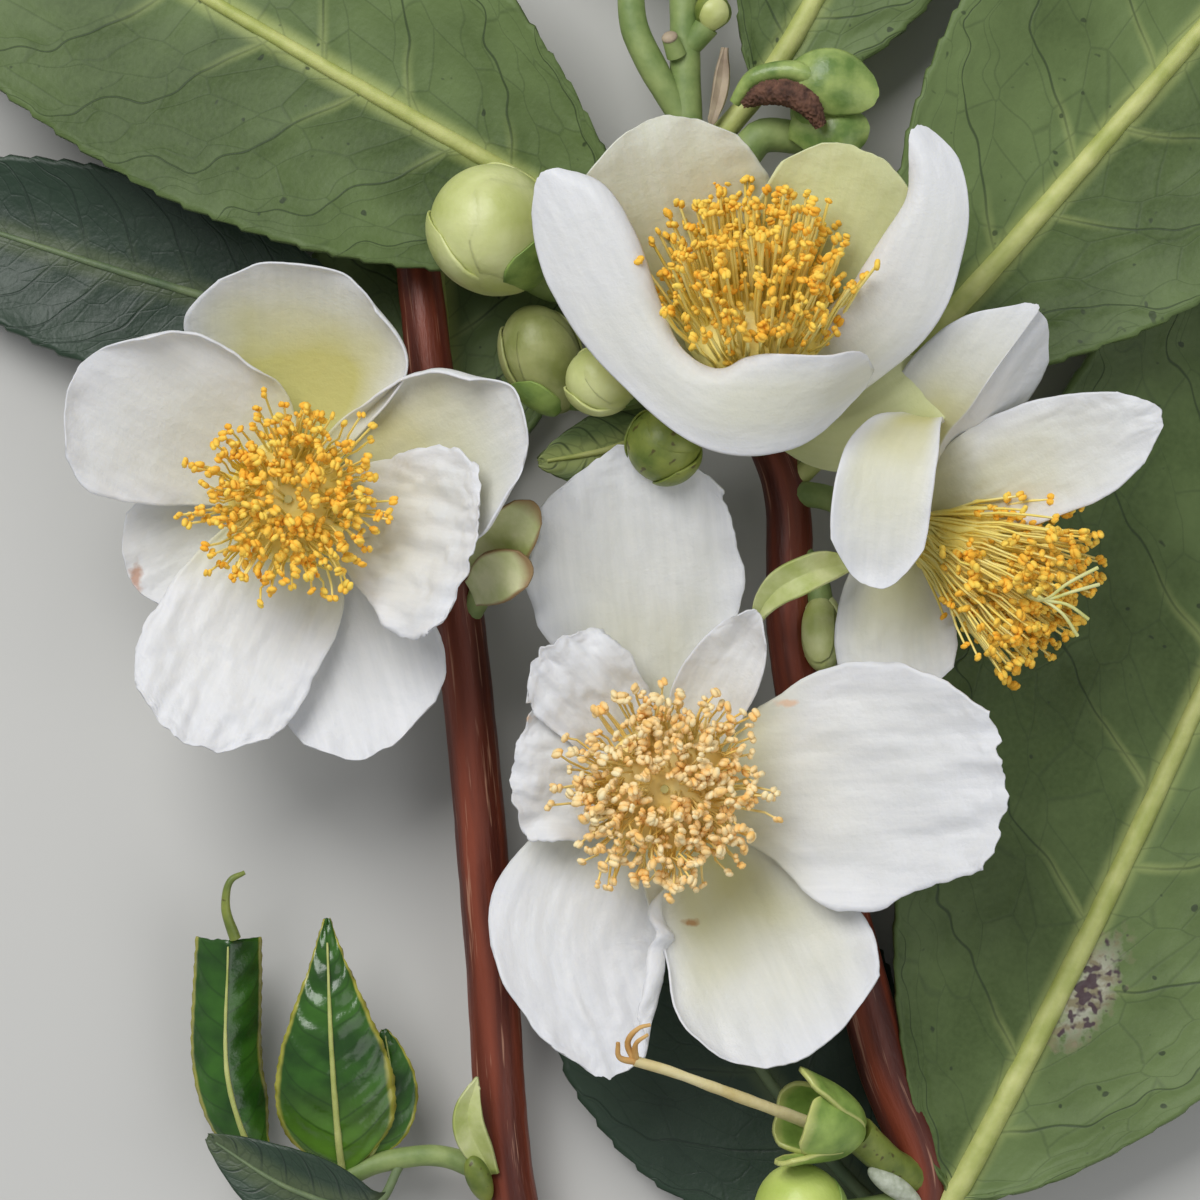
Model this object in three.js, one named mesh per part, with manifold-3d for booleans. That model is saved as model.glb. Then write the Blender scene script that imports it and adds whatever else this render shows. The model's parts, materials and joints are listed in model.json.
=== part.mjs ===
// A cut flowering tea branch, lying on a level surface with its blooms facing up.
// Millimetres. X runs across the branch, Y along it towards the shoot tips, Z up.
import * as THREE from "three";
import { mergeVertices } from "three/addons/utils/BufferGeometryUtils.js";
import Module from "manifold-3d";

// Driving sizes
const CLEARANCE = 0.3; // neighbouring pieces stay this far apart
const PETAL_THICK = 0.75;
const PETAL_CLAW = 0.3; // width of a petal's foot, as a share of its full width
const PETAL_WIDEST = 0.64; // where a petal is widest, as a share of its length
const PETAL_END = 0.4; // width of a petal's round end, as a share of its full width
const HUB_HEIGHT = 1.4; // the petals leave the hub this far above the bloom's base
const HUB_TOP = 2.2;
const HUB_FOOT = 0.7;
const HUB_RADIUS = 2.7;
const CALYX_DEPTH = 3.6;
const CALYX_RIM = 0.4; // the calyx reaches this far above the bloom's base
const CALYX_RADIUS = 3.8;
const LEAF_THICK_SHARE = 0.011; // of the blade's length
const LEAF_THIN = 0.8; // no blade is thinner than this
const LEAF_STALK_HALF = 0.7; // half the width of a leaf's stalk
const LEAF_STALK_SHARE = 0.12; // share of a leaf's line taken by its stalk
const MIDRIB_PROUD = 1.1; // the midrib thickens the blade by this much at its foot
const MIDRIB_TAPER = 0.6; // share of that lost by the tip
const MIDRIB_HALF = 1 / 3; // half the midrib's width, as a share of the blade's half
const STEM_SIDES = 8;
const STALK_SIDES = 6;
const STALK_UNDER = 1.5; // limbs thinner than this are stalks
const PETAL_ROWS = 5;
const PETAL_COLUMNS = 4;
const LEAF_ROWS = 8;
const LEAF_COLUMNS = 4;
const STEP = 1e-3; // share of a sheet over which its slope is measured
const SEAM = 1e-4; // corners nearer than this are one

// Places are given as they are seen from straight above, at this height over the surface.
// A lower thing looks smaller from there, so it stands further out than it seems.
const EYE_HEIGHT = 480;
const BLOOM_HEIGHT = 22;

const wasm = await Module();
wasm.setup();

function seen([x, y, z]) {
  const spread = (EYE_HEIGHT - z) / (EYE_HEIGHT - BLOOM_HEIGHT);
  return new THREE.Vector3(x * spread, y * spread, z);
}

// Finishes
function finish(color, roughness) {
  return new THREE.MeshStandardMaterial({ color, roughness, metalness: 0 });
}

const FINISHES = {
  bark: finish("#6e3324", 0.45),
  greenStem: finish("#7f9a4c", 0.5),
  leafUnder: finish("#6b8556", 0.6),
  leafUpper: finish("#2e4630", 0.4),
  youngLeaf: finish("#6f9a36", 0.35),
  petal: finish("#e6e7e6", 0.55),
  stamens: finish("#f0b029", 0.7),
  oldStamens: finish("#edb666", 0.7),
  calyx: finish("#7da24e", 0.5),
  bud: finish("#cfd28a", 0.5),
  greenBud: finish("#8fa33f", 0.5),
  fruit: finish("#b5d452", 0.45),
  style: finish("#e3cf97", 0.5),
};

// Solids from bent standard geometries
function solidOf(geometry, bend) {
  const place = geometry.getAttribute("position");
  const point = new THREE.Vector3();
  for (let i = 0; i < place.count; i++) {
    point.fromBufferAttribute(place, i);
    const bent = bend(point);
    place.setXYZ(i, bent.x, bent.y, bent.z);
  }
  geometry.deleteAttribute("normal");
  geometry.deleteAttribute("uv");
  const merged = mergeVertices(geometry, SEAM);
  const vertProperties = new Float32Array(merged.getAttribute("position").array);
  const triVerts = new Uint32Array(merged.index.array);
  const made = new wasm.Manifold(new wasm.Mesh({ numProp: 3, vertProperties, triVerts }));
  if (made.volume() > 0) return made;
  return new wasm.Manifold(
    new wasm.Mesh({ numProp: 3, vertProperties, triVerts: triVerts.reverse() }),
  );
}

function joined(solids) {
  return solids.reduce((whole, next) => whole.add(next));
}

// The one body that matters: loose scraps and sealed hollows are left behind.
function wholeOf(solid) {
  const bodies = solid.decompose();
  return bodies.reduce((best, next) => (next.volume() > best.volume() ? next : best));
}

// A round limb through points, tapering from one radius to the next.
function limb(points, radii, sides, room, steps = 2 * (points.length - 1)) {
  const curve = new THREE.CatmullRomCurve3(points, false, "centripetal");
  const frames = curve.computeFrenetFrames(steps, false);
  const cylinder = new THREE.CylinderGeometry(1, 1, 1, sides, steps);
  return solidOf(cylinder, (p) => {
    const along = 0.5 - p.y;
    const step = Math.round(along * steps);
    const span = along * (radii.length - 1);
    const from = Math.min(Math.floor(span), radii.length - 2);
    const radius = THREE.MathUtils.lerp(radii[from], radii[from + 1], span - from) + room;
    const end = (step === steps ? room : 0) - (step === 0 ? room : 0);
    return curve
      .getPointAt(along)
      .addScaledVector(frames.normals[step], p.x * radius)
      .addScaledVector(frames.binormals[step], p.z * radius)
      .addScaledVector(frames.tangents[step], end);
  });
}

// A thin closed sheet round a middle surface(u, v), with u from 0 to 1 and v from -1 to 1.
function sheet(rows, columns, surface, thickness) {
  const slab = new THREE.BoxGeometry(2, 1, 1, columns, rows, 1);
  return solidOf(slab, (p) => {
    const u = p.y + 0.5;
    const v = p.x;
    const here = surface(u, v);
    const alongLine = surface(u + STEP, v).sub(surface(u - STEP, v));
    const acrossLine = surface(u, v + STEP).sub(surface(u, v - STEP));
    const out = acrossLine.cross(alongLine).normalize();
    return here.addScaledVector(out, p.z * thickness(u, v));
  });
}

// A round body along a line from its foot to its tip. Its outline is round(s) of its radius.
const POLE = 1e-6; // nearer the axis than this is the pole itself
function lump(foot, tip, radius, room, round, sides = 8, rings = 6) {
  const axis = tip.clone().sub(foot);
  const length = axis.length();
  axis.normalize();
  const turn = new THREE.Quaternion().setFromUnitVectors(new THREE.Vector3(0, 1, 0), axis);
  const ball = new THREE.SphereGeometry(1, sides, rings);
  return solidOf(ball, (p) => {
    const flat = Math.hypot(p.x, p.z);
    const s = (p.y + 1) / 2;
    const wide = flat > POLE ? (radius * round(s) + room) / flat : 0;
    const bent = new THREE.Vector3(p.x * wide, s * (length + 2 * room) - room, p.z * wide);
    return bent.applyQuaternion(turn).add(foot);
  });
}

function roundness(s) {
  return Math.sqrt(Math.max(1 - (2 * s - 1) ** 2, 0));
}

// A bud is fuller near its foot and comes to a blunt point.
const BUD_FULLNESS = 1.15;
function budRoundness(s) {
  return roundness(s ** BUD_FULLNESS);
}

// Filaments leave a narrow foot, lean outwards and carry a dome of anthers.
const STAMEN_FOOT = 0.36;
const STAMEN_SHOULDER = 0.6;
const STAMEN_DOME = 0.42;
function stamenRoundness(s) {
  const fan = STAMEN_FOOT + (1 - STAMEN_FOOT) * Math.min(s / STAMEN_SHOULDER, 1);
  const overShoulder = Math.max((s - STAMEN_SHOULDER) / STAMEN_DOME, 0);
  return fan * Math.sqrt(1 - overShoulder ** 2);
}

// A petal's outline: a narrow claw, widest past the middle, and a round end.
function petalOutline(u) {
  if (u < PETAL_WIDEST) {
    return PETAL_CLAW + (1 - PETAL_CLAW) * Math.sin((Math.PI / 2) * (u / PETAL_WIDEST));
  }
  const past = (u - PETAL_WIDEST) / (1 - PETAL_WIDEST);
  return Math.max(Math.sqrt(1 - past * past), PETAL_END);
}

// A petal runs from the middle of its bloom to its tip. Its belly hangs below the straight
// line between them, bulge bows it outwards and cup lifts its edges. A petal that folds
// back or turns its face has the point that it bends round, or the way its width lies.
function petal(bloom, { tip, wide, belly = 2.2, bulge = 0, cup = 0.2, via, across }, room) {
  const facing = new THREE.Vector3(...bloom.facing).normalize();
  const from = seen(bloom.base).addScaledVector(facing, HUB_HEIGHT);
  const to = seen(tip);
  const chord = to.clone().sub(from);
  const outwards = chord.clone().projectOnPlane(facing).normalize();
  const middle = from.clone().lerp(to, 0.5);
  middle.addScaledVector(facing, -2 * belly).addScaledVector(outwards, 2 * bulge);
  const line = new THREE.QuadraticBezierCurve3(from, via ? seen(via) : middle, to);
  const width = across ? new THREE.Vector3(...across) : facing.clone().cross(outwards);
  const length = from.distanceTo(to);
  const surface = (u, v) => {
    const reach = u + ((2 * u - 1) * room) / length;
    const along = line.getTangent(THREE.MathUtils.clamp(reach, 0, 1));
    const side = width.clone().projectOnPlane(along).normalize();
    const inner = along.clone().cross(side);
    const half = (wide / 2) * petalOutline(THREE.MathUtils.clamp(u, 0, 1)) + room;
    return line
      .getPoint(reach)
      .addScaledVector(side, v * half)
      .addScaledVector(inner, cup * half * v * v);
  };
  return sheet(PETAL_ROWS, PETAL_COLUMNS, surface, () => PETAL_THICK + 2 * room);
}

// A leaf lies along a line of points: stalk foot, blade foot, and on to its tip.
// Its blade is widest just short of the middle, and droop lowers its margins.
const BLADE_LEAN = 0.86;
const BLADE_FULLNESS = 0.8;
function leafOutline(u, stalk) {
  const s = THREE.MathUtils.clamp((u - stalk) / (1 - stalk), 0, 1);
  return Math.sin(Math.PI * s ** BLADE_LEAN) ** BLADE_FULLNESS;
}

function leaf({ line, wide, droop = 0.14, stalk = LEAF_STALK_SHARE, rib = 1 }, room) {
  const curve = new THREE.CatmullRomCurve3(line.map(seen), false, "centripetal");
  const length = curve.getLength();
  const thick = Math.max(LEAF_THICK_SHARE * length, LEAF_THIN);
  const up = new THREE.Vector3(0, 0, 1);
  const surface = (u, v) => {
    const reach = THREE.MathUtils.clamp(u, 0, 1);
    const along = curve.getTangentAt(reach);
    const across = along.clone().cross(up).normalize();
    const half = Math.max((wide / 2) * leafOutline(reach, stalk), LEAF_STALK_HALF * rib) + room;
    const end = (u >= 1 ? room : 0) - (u <= 0 ? room : 0);
    return curve
      .getPointAt(reach)
      .addScaledVector(along, end + (u - reach) * length)
      .addScaledVector(across, v * half)
      .addScaledVector(up, -droop * half * v * v);
  };
  const thickness = (u, v) => {
    const proud = MIDRIB_PROUD * rib * (1 - MIDRIB_TAPER * u);
    return thick + proud * Math.max(1 - Math.abs(v) / MIDRIB_HALF, 0) + 2 * room;
  };
  return sheet(LEAF_ROWS, LEAF_COLUMNS, surface, thickness);
}

// Pieces, each cut clear of those placed before it
const branch = new THREE.Group();
branch.name = "flowering_tea_branch";
const placed = [];

function boxesMeet(a, b) {
  return [0, 1, 2].every((k) => a.min[k] < b.max[k] && b.min[k] < a.max[k]);
}

function addPiece(group, name, material, shape) {
  let solid = shape(0);
  for (const other of placed) {
    if (boxesMeet(solid.boundingBox(), other.boundingBox())) solid = solid.subtract(other);
  }
  solid = wholeOf(solid);
  placed.push(shape(CLEARANCE));
  const mesh = solid.getMesh();
  const geometry = new THREE.BufferGeometry();
  geometry.setAttribute("position", new THREE.BufferAttribute(mesh.vertProperties, 3));
  geometry.setIndex(new THREE.BufferAttribute(mesh.triVerts, 1));
  const anchor = new THREE.Vector3(...solid.boundingBox().min).round();
  geometry.translate(-anchor.x, -anchor.y, -anchor.z);
  const piece = new THREE.Mesh(geometry, material);
  piece.name = name;
  piece.position.copy(anchor);
  group.add(piece);
}

function addGroup(name) {
  const group = new THREE.Group();
  group.name = name;
  branch.add(group);
  return group;
}

// Stems. The main stem forks below the blooms, and each arm is split where it bends.
const CUT_Y = -101; // the flat cut across the foot of the branch
const FORK = [11.5, -87, 4.6];
const LEFT_BEND = [-7.4, -50, 5];
const LOWER_NODE = [27.1, -48.6, 6];
const MIDDLE_NODE = [15.4, 9.2, 8];
const UPPER_NODE = [8.3, 26.7, 8.5];

const STEMS = [
  {
    name: "main_stem",
    finish: "bark",
    points: [[11.2, CUT_Y, 3.6], [11.2, CUT_Y + 5, 3.6], [11.3, -92, 4], [11.5, -86, 4.6]],
    radii: [3.5, 3.4, 3.3, 3],
  },
  {
    name: "right_stem_foot",
    finish: "bark",
    points: [FORK, [17.5, -76, 5], [24, -62, 5.6], LOWER_NODE],
    radii: [2.7, 2.5, 2.4, 2.3],
  },
  {
    name: "left_stem_foot",
    finish: "bark",
    points: [FORK, [4.5, -76, 4.8], [-3.5, -64, 5], LEFT_BEND],
    radii: [2.5, 2.45, 2.4, 2.3],
  },
  {
    name: "left_stem",
    finish: "bark",
    points: [LEFT_BEND, [-9.2, -28, 6], [-11, -8, 7], [-13.6, 14, 7.5], [-15.2, 28, 6], [-17, 40, 3.2]],
    radii: [2.25, 2.25, 2.2, 2.1, 1.9, 1.3],
  },
  {
    name: "right_stem",
    finish: "bark",
    points: [LOWER_NODE, [23.5, -38, 7], [18.5, -18, 8], [15.8, -3, 8], MIDDLE_NODE],
    radii: [2.3, 2.1, 1.9, 1.9, 1.9],
  },
  {
    name: "upper_stem",
    finish: "bark",
    points: [MIDDLE_NODE, [11, 19, 8.2], UPPER_NODE, [7.6, 34, 8.5]],
    radii: [1.8, 1.7, 1.6, 1.4],
  },
  {
    name: "top_shoot",
    finish: "greenStem",
    points: [[7.6, 34, 8.5], [7.2, 41, 8.5], [7, 50, 8], [6.7, 58, 6.5]],
    radii: [1.35, 1.3, 1.2, 0.9],
  },
  {
    name: "side_shoot",
    finish: "greenStem",
    points: [[7.1, 41, 8.6], [4.6, 44, 9], [2.8, 48, 9], [2.6, 54, 8.2]],
    radii: [1.2, 1.2, 1.1, 1],
  },
  {
    name: "young_shoot",
    finish: "greenStem",
    points: [[-8.5, -48.3, 5.4], [-13, -46.4, 5.6], [-18, -46.8, 5.6], [-22.4, -48.8, 5.4]],
    radii: [1, 0.95, 0.9, 0.8],
  },
];

const stems = addGroup("stems");
for (const { name, finish: coat, points, radii } of STEMS) {
  const sides = radii[0] < STALK_UNDER ? STALK_SIDES : STEM_SIDES;
  addPiece(stems, name, FINISHES[coat], (room) => limb(points.map(seen), radii, sides, room));
}

// Blooms. The hub joins the petals, and the calyx holds it from below on its stalk.
const CALYX_STALK_SUNK = 0.8; // the stalk starts this deep in the calyx
const CALYX_STALK_RADII = [1.3, 1.1, 1.1];
const CALYX_SHAPE = [10, 4]; // sides and rings
const STAMEN_SHAPE = [12, 8];

const BLOOMS = [
  {
    name: "left_bloom",
    base: [-25.4, 8, 12],
    facing: [-0.06, 0.04, 1],
    stamens: { finish: "stamens", tip: [-26.2, 8.6, 25], radius: 8.4 },
    stalk: [[-23.6, 6.4, 8.6], [-18, 4, 7.4], [-11.6, 2, 7]],
    petals: [
      { tip: [-45, 15.6, 18], wide: 15.5, belly: 1.6, cup: 0.12 },
      { tip: [-25.6, 28.2, 24], wide: 18, belly: 3, cup: 0.3 },
      { tip: [-6, 14.4, 24], wide: 16, belly: 2.8, cup: 0.32 },
      { tip: [-10.8, 0.4, 23.5], wide: 12.5, belly: 1.2, cup: 0.1 },
      { tip: [-19.2, -13.6, 15.5], wide: 13, belly: 1.4, cup: 0.1 },
      { tip: [-34.6, -12.8, 18], wide: 16.5, belly: 1.4, cup: 0.1 },
      { tip: [-39.6, 2, 13], wide: 9, belly: 1, cup: 0.1 },
    ],
  },
  {
    name: "top_bloom",
    base: [12.9, 15.6, 15],
    facing: [-0.02, 0.78, 0.62],
    stamens: { finish: "stamens", tip: [12.9, 29.8, 27.6], radius: 8.8 },
    stalk: [[12.8, 13.4, 12], [12.8, 13.6, 10.4], [13.4, 15, 8.2]],
    petals: [
      { tip: [4.4, 40.2, 25], wide: 21, belly: 3.4, bulge: 1, cup: 0.2 },
      { tip: [-5.6, 35.4, 30], wide: 19, belly: 2.6, bulge: 6.5, cup: 0.1 },
      { tip: [22.2, 38, 24], wide: 13, belly: 3, cup: 0.25 },
      { tip: [26.2, 39.6, 32], wide: 18, belly: 2.6, bulge: 9, cup: 0.1 },
      { tip: [12.4, 20.9, 35], wide: 24, belly: 4.6, bulge: 4, cup: 0.25 },
      { tip: [25.4, 32.4, 26], wide: 6, belly: 2, bulge: 2, cup: 0.1 },
      { tip: [29.2, 16.6, 19.5], wide: 11.5, belly: 1.4, cup: 0.15 },
    ],
  },
  {
    name: "lower_bloom",
    base: [5.6, -15.4, 12],
    facing: [0, 0.02, 1],
    stamens: { finish: "oldStamens", tip: [5.2, -16, 24.5], radius: 8.6 },
    stalk: [[7.4, -13.6, 8.8], [11, -11, 8], [16.6, -9.6, 8]],
    petals: [
      { tip: [2, 13.4, 17], wide: 18.5, belly: 1.8, cup: 0.16 },
      { tip: [14.4, -2.2, 19], wide: 5.5, belly: 1, cup: 0.2 },
      { tip: [-5.2, -3.8, 20], wide: 9, belly: 1, cup: 0.1 },
      { tip: [-7.6, -14.4, 18], wide: 11.5, belly: 1, cup: 0.1 },
      { tip: [1.6, -40.8, 16], wide: 15.5, cup: 0.12, via: [-7, -27, 11.5] },
      { tip: [16.6, -38.8, 18], wide: 19, belly: 2.4, cup: 0.24 },
      { tip: [34.6, -14.8, 23], wide: 20, belly: 2, cup: 0.12 },
    ],
  },
  {
    name: "right_bloom",
    base: [25, 6.4, 12.6],
    facing: [0.86, -0.36, 0.36],
    stamens: { finish: "stamens", tip: [39.6, -1, 20.4], radius: 7.4 },
    stalk: [[21, 7.8, 10.8], [18.6, 8.6, 9.4], [15.6, 9, 8.2]],
    petals: [
      { tip: [36.8, 24, 14], wide: 9.5, belly: 1, cup: 0.45, across: [-0.9, 0.3, -0.3] },
      { tip: [47.2, 15.6, 25], wide: 11.5, belly: 0.6, cup: 0.12, across: [-0.3, 0.9, 0.1] },
      { tip: [22.4, 0.6, 25], wide: 9.6, cup: 0.16, via: [29, 24, 27], across: [-1, 0.1, -0.1] },
      { tip: [25.4, -8.4, 15], wide: 11, belly: 1.4, cup: 0.1, across: [-1, -0.1, -0.2] },
    ],
  },
];

const blooms = addGroup("blooms");
for (const bloom of BLOOMS) {
  const facing = new THREE.Vector3(...bloom.facing).normalize();
  const base = seen(bloom.base);
  const above = (height) => base.clone().addScaledVector(facing, height);

  const stalk = [above(CALYX_STALK_SUNK - CALYX_DEPTH), ...bloom.stalk.map(seen)];
  addPiece(blooms, bloom.name + "_calyx", FINISHES.calyx, (room) =>
    joined([
      lump(above(-CALYX_DEPTH), above(CALYX_RIM), CALYX_RADIUS, room, roundness, ...CALYX_SHAPE),
      limb(stalk, CALYX_STALK_RADII, STALK_SIDES, room),
    ]),
  );

  const { finish: coat, tip, radius } = bloom.stamens;
  addPiece(blooms, bloom.name + "_stamens", FINISHES[coat], (room) =>
    lump(above(HUB_TOP + CLEARANCE), seen(tip), radius, room, stamenRoundness, ...STAMEN_SHAPE),
  );

  addPiece(blooms, bloom.name + "_petals", FINISHES.petal, (room) =>
    joined([
      lump(above(HUB_FOOT), above(HUB_TOP), HUB_RADIUS, room, roundness, ...CALYX_SHAPE),
      ...bloom.petals.map((each) => petal(bloom, each, room)),
    ]),
  );
}

// Leaves, most of them with their undersides up
const LEAVES = [
  {
    name: "lower_right_leaf",
    finish: "leafUnder",
    line: [[27.4, -48.4, 6.4], [29, -48, 7.4], [41.4, -26.5, 6.6], [51, -6, 4.6], [77, 52, 0.8]],
    wide: 47,
    droop: 0.13,
    stalk: 0.02,
  },
  {
    name: "top_right_leaf",
    finish: "leafUnder",
    line: [[15.8, 9.6, 8], [25.4, 19.6, 10.2], [47, 44, 11], [66, 66, 6.5], [82, 85, 0.8]],
    wide: 38,
    droop: 0.16,
    stalk: 0.13,
  },
  {
    name: "top_left_leaf",
    finish: "leafUnder",
    line: [[8.3, 27, 9], [1, 30.8, 10.4], [-22, 43.9, 11], [-48, 59, 7], [-71.6, 72, 0.8]],
    wide: 34,
    droop: 0.17,
    stalk: 0.08,
  },
  {
    name: "top_centre_leaf",
    finish: "leafUnder",
    line: [[8, 36.5, 8], [13.6, 43, 7.6], [20, 54, 7], [32, 78, 2]],
    wide: 19,
    droop: 0.14,
    stalk: 0.16,
  },
  {
    name: "dark_left_leaf",
    finish: "leafUpper",
    line: [[-14, 17, 6.4], [-19, 20.5, 4.4], [-44, 28.6, 4], [-64, 35, 1]],
    wide: 17,
    droop: 0.12,
    stalk: 0.1,
  },
  {
    name: "grey_leaf",
    finish: "leafUnder",
    line: [[-12.4, 5, 5.4], [-12.6, 9, 3.4], [-13.4, 27, 1.8], [-16, 47, 1.4]],
    wide: 22,
    droop: 0.04,
    stalk: 0.08,
  },
  {
    name: "slate_leaf",
    finish: "leafUpper",
    line: [[26.4, -52.5, 5], [23, -50.5, 3.4], [12, -37, 2.2], [0, -12, 1.4]],
    wide: 29,
    droop: 0.06,
    stalk: 0.07,
  },
  {
    name: "small_leaf",
    finish: "leafUnder",
    line: [[12, 17, 8.2], [6, 14.6, 8.6], [1, 12.6, 9], [-5.4, 11.4, 9.4]],
    wide: 7,
    droop: 0.1,
    stalk: 0.3,
    rib: 0.6,
  },
  {
    name: "shoot_leaf_left",
    finish: "youngLeaf",
    line: [[6.9, 53, 7.4], [4.6, 57, 7.6], [-4, 66, 6], [-14, 76, 1.4]],
    wide: 13,
    droop: 0.14,
    rib: 0.7,
  },
  {
    name: "shoot_leaf_right",
    finish: "youngLeaf",
    line: [[6.8, 56, 7], [8, 60, 7.2], [11, 70, 6], [12.6, 84, 2]],
    wide: 11,
    droop: 0.14,
    rib: 0.7,
  },
  {
    name: "young_leaf_middle",
    finish: "youngLeaf",
    line: [[-21.4, -48.2, 5.6], [-21.6, -45, 7.6], [-21.8, -37, 10], [-22.9, -26.2, 9.4]],
    wide: 12,
    droop: -0.2,
    rib: 0.6,
  },
  {
    name: "young_leaf_left",
    finish: "youngLeaf",
    line: [[-22.2, -48.9, 5.4], [-28, -47, 6], [-31, -38, 7], [-30.4, -23.5, 6.4]],
    wide: 8,
    droop: -0.2,
    rib: 0.6,
    stalk: 0.2,
  },
  {
    name: "young_leaf_low",
    finish: "leafUpper",
    line: [[-16.5, -46.8, 5.4], [-19, -50.5, 5], [-25, -50.4, 4.4], [-32, -46.4, 2.4]],
    wide: 8,
    droop: 0.1,
    rib: 0.6,
    stalk: 0.2,
  },
];

const leaves = addGroup("leaves");
for (const spec of LEAVES) {
  addPiece(leaves, spec.name, FINISHES[spec.finish], (room) => leaf(spec, room));
}

// Buds, each on a stalk that reaches its stem
const BUDS = [
  { name: "large_bud", finish: "bud", foot: [-6.2, 26, 13], tip: [-11.4, 35.4, 18], radius: 5.6,
    stalk: [[-3, 25.6, 11.4], [8, 26.8, 9]] },
  { name: "second_bud", finish: "bud", foot: [-3, 15.6, 10.6], tip: [-6.4, 24.4, 12.6], radius: 3.5,
    stalk: [[2, 16.8, 9.4], [10.8, 19.2, 8.4]] },
  { name: "small_bud", finish: "bud", foot: [2.6, 16.8, 16.4], tip: [-2.4, 19.6, 18.6], radius: 2.9,
    stalk: [[5.4, 17.6, 13], [10.6, 20, 8.6]] },
  { name: "green_bud", finish: "greenBud", foot: [7.6, 14.2, 14.6], tip: [3.4, 11.8, 19], radius: 3.4,
    stalk: [[10, 14.6, 11.4], [13.6, 13.2, 8.4]] },
  { name: "edge_bud", finish: "greenBud", foot: [8.8, 47.4, 9], tip: [9.8, 50.6, 9.6], radius: 1.6,
    stalk: [[7.4, 46, 8.6]] },
  { name: "side_shoot_bud", finish: "bud", foot: [2.6, 54.2, 8.2], tip: [2.4, 60.6, 7.4], radius: 2.4,
    stalk: [[2.6, 52.6, 8.4]] },
  { name: "left_stem_bud", finish: "greenBud", foot: [-17, 40.2, 3.2], tip: [-17.8, 45, 2.2], radius: 1.4,
    stalk: [[-16.8, 38.8, 3.4]] },
  { name: "pale_bud", finish: "bud", foot: [17.6, 2.2, 10.4], tip: [18.6, -6.6, 13], radius: 2.3,
    stalk: [[17.2, 4.4, 9.6], [15.6, 6.6, 8.4]] },
  { name: "notched_bud", finish: "calyx", foot: [-9.6, 1.4, 9.6], tip: [-6.6, 7.6, 13], radius: 3.6,
    stalk: [[-10.2, 0, 8.8], [-11.2, -2, 7.4]] },
  { name: "green_fruit", finish: "fruit", foot: [20.4, -51.2, 10.6], tip: [13.2, -51, 13.6], radius: 4.6,
    stalk: [[23, -50.6, 9], [26.8, -49.4, 6.6]] },
];

const BUD_STALK_SUNK = 0.15; // share of the bud that its stalk reaches into
const BUD_STALK_RADII = [1.1, 0.95];
const buds = addGroup("buds");
for (const { name, finish: coat, foot, tip, radius, stalk } of BUDS) {
  const line = [seen(foot).lerp(seen(tip), BUD_STALK_SUNK), ...stalk.map(seen)];
  addPiece(buds, name, FINISHES[coat], (room) =>
    joined([
      lump(seen(foot), seen(tip), radius, room, budRoundness),
      limb(line, BUD_STALK_RADII, STALK_SIDES, room),
    ]),
  );
}

// The spent flower keeps its calyx and its long style with three curled lobes.
const SPENT = {
  foot: [21.8, -44.6, 12.4],
  mouth: [15.8, -42.4, 16],
  radius: 3.6,
  stalk: [[24, -46.8, 9.6], LOWER_NODE],
  stalkRadii: [1.7, 1.6],
  style: [[15.6, -42.3, 16.2], [10, -40.6, 18.6], [5.6, -39.2, 20], [2.9, -38.4, 20.6]],
  styleRadii: [0.7, 0.6, 0.55],
  lobes: [[2.4, -35.4, 21.4], [3.4, -36, 22.2], [1.6, -37.4, 21.8]],
  lobeRadii: [0.5, 0.45],
};
const spentFoot = seen(SPENT.foot);
addPiece(buds, "spent_calyx", FINISHES.calyx, (room) =>
  joined([
    lump(spentFoot, seen(SPENT.mouth), SPENT.radius, room, roundness),
    limb([spentFoot, ...SPENT.stalk.map(seen)], SPENT.stalkRadii, STALK_SIDES, room),
  ]),
);
const styleLine = SPENT.style.map(seen);
addPiece(buds, "spent_style", FINISHES.style, (room) =>
  joined([
    limb(styleLine, SPENT.styleRadii, STALK_SIDES, room),
    ...SPENT.lobes.map((lobe) =>
      limb([...styleLine.slice(-2), seen(lobe)], SPENT.lobeRadii, STALK_SIDES, room),
    ),
  ]),
);

// The opened calyx at the top has shed its petals.
const OPENED = {
  foot: [17.6, 38.4, 9.6],
  top: [20.6, 44.6, 13.8],
  radius: 4.3,
  stalk: [[12.6, 37, 9.2], [8, 33, 8.6]],
  stalkRadii: [1.3, 1.1],
};
const openedFoot = seen(OPENED.foot);
addPiece(buds, "open_calyx", FINISHES.calyx, (room) =>
  joined([
    lump(openedFoot, seen(OPENED.top), OPENED.radius, room, roundness),
    limb([openedFoot, ...OPENED.stalk.map(seen)], OPENED.stalkRadii, STALK_SIDES, room),
  ]),
);

// The origin is under the middle of the branch, on the surface that it lies on.
const box = new THREE.Box3().setFromObject(branch, true);
const middle = box.getCenter(new THREE.Vector3());
branch.position.set(-middle.x, -middle.y, -box.min.z);

export default branch;
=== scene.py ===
"""A cut flowering tea branch, dressed: twigs, leaves, blooms, buds and a spent flower on a pale floor.

Places are in millimetres as they are seen from straight above, the way the solids' source gives them:
a lower thing stands further out than it seems. Pieces are grown in true millimetres and end in metres.
"""
import json
import math

import bmesh
import bpy
import numpy as np
from mathutils import Matrix, Vector


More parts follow.
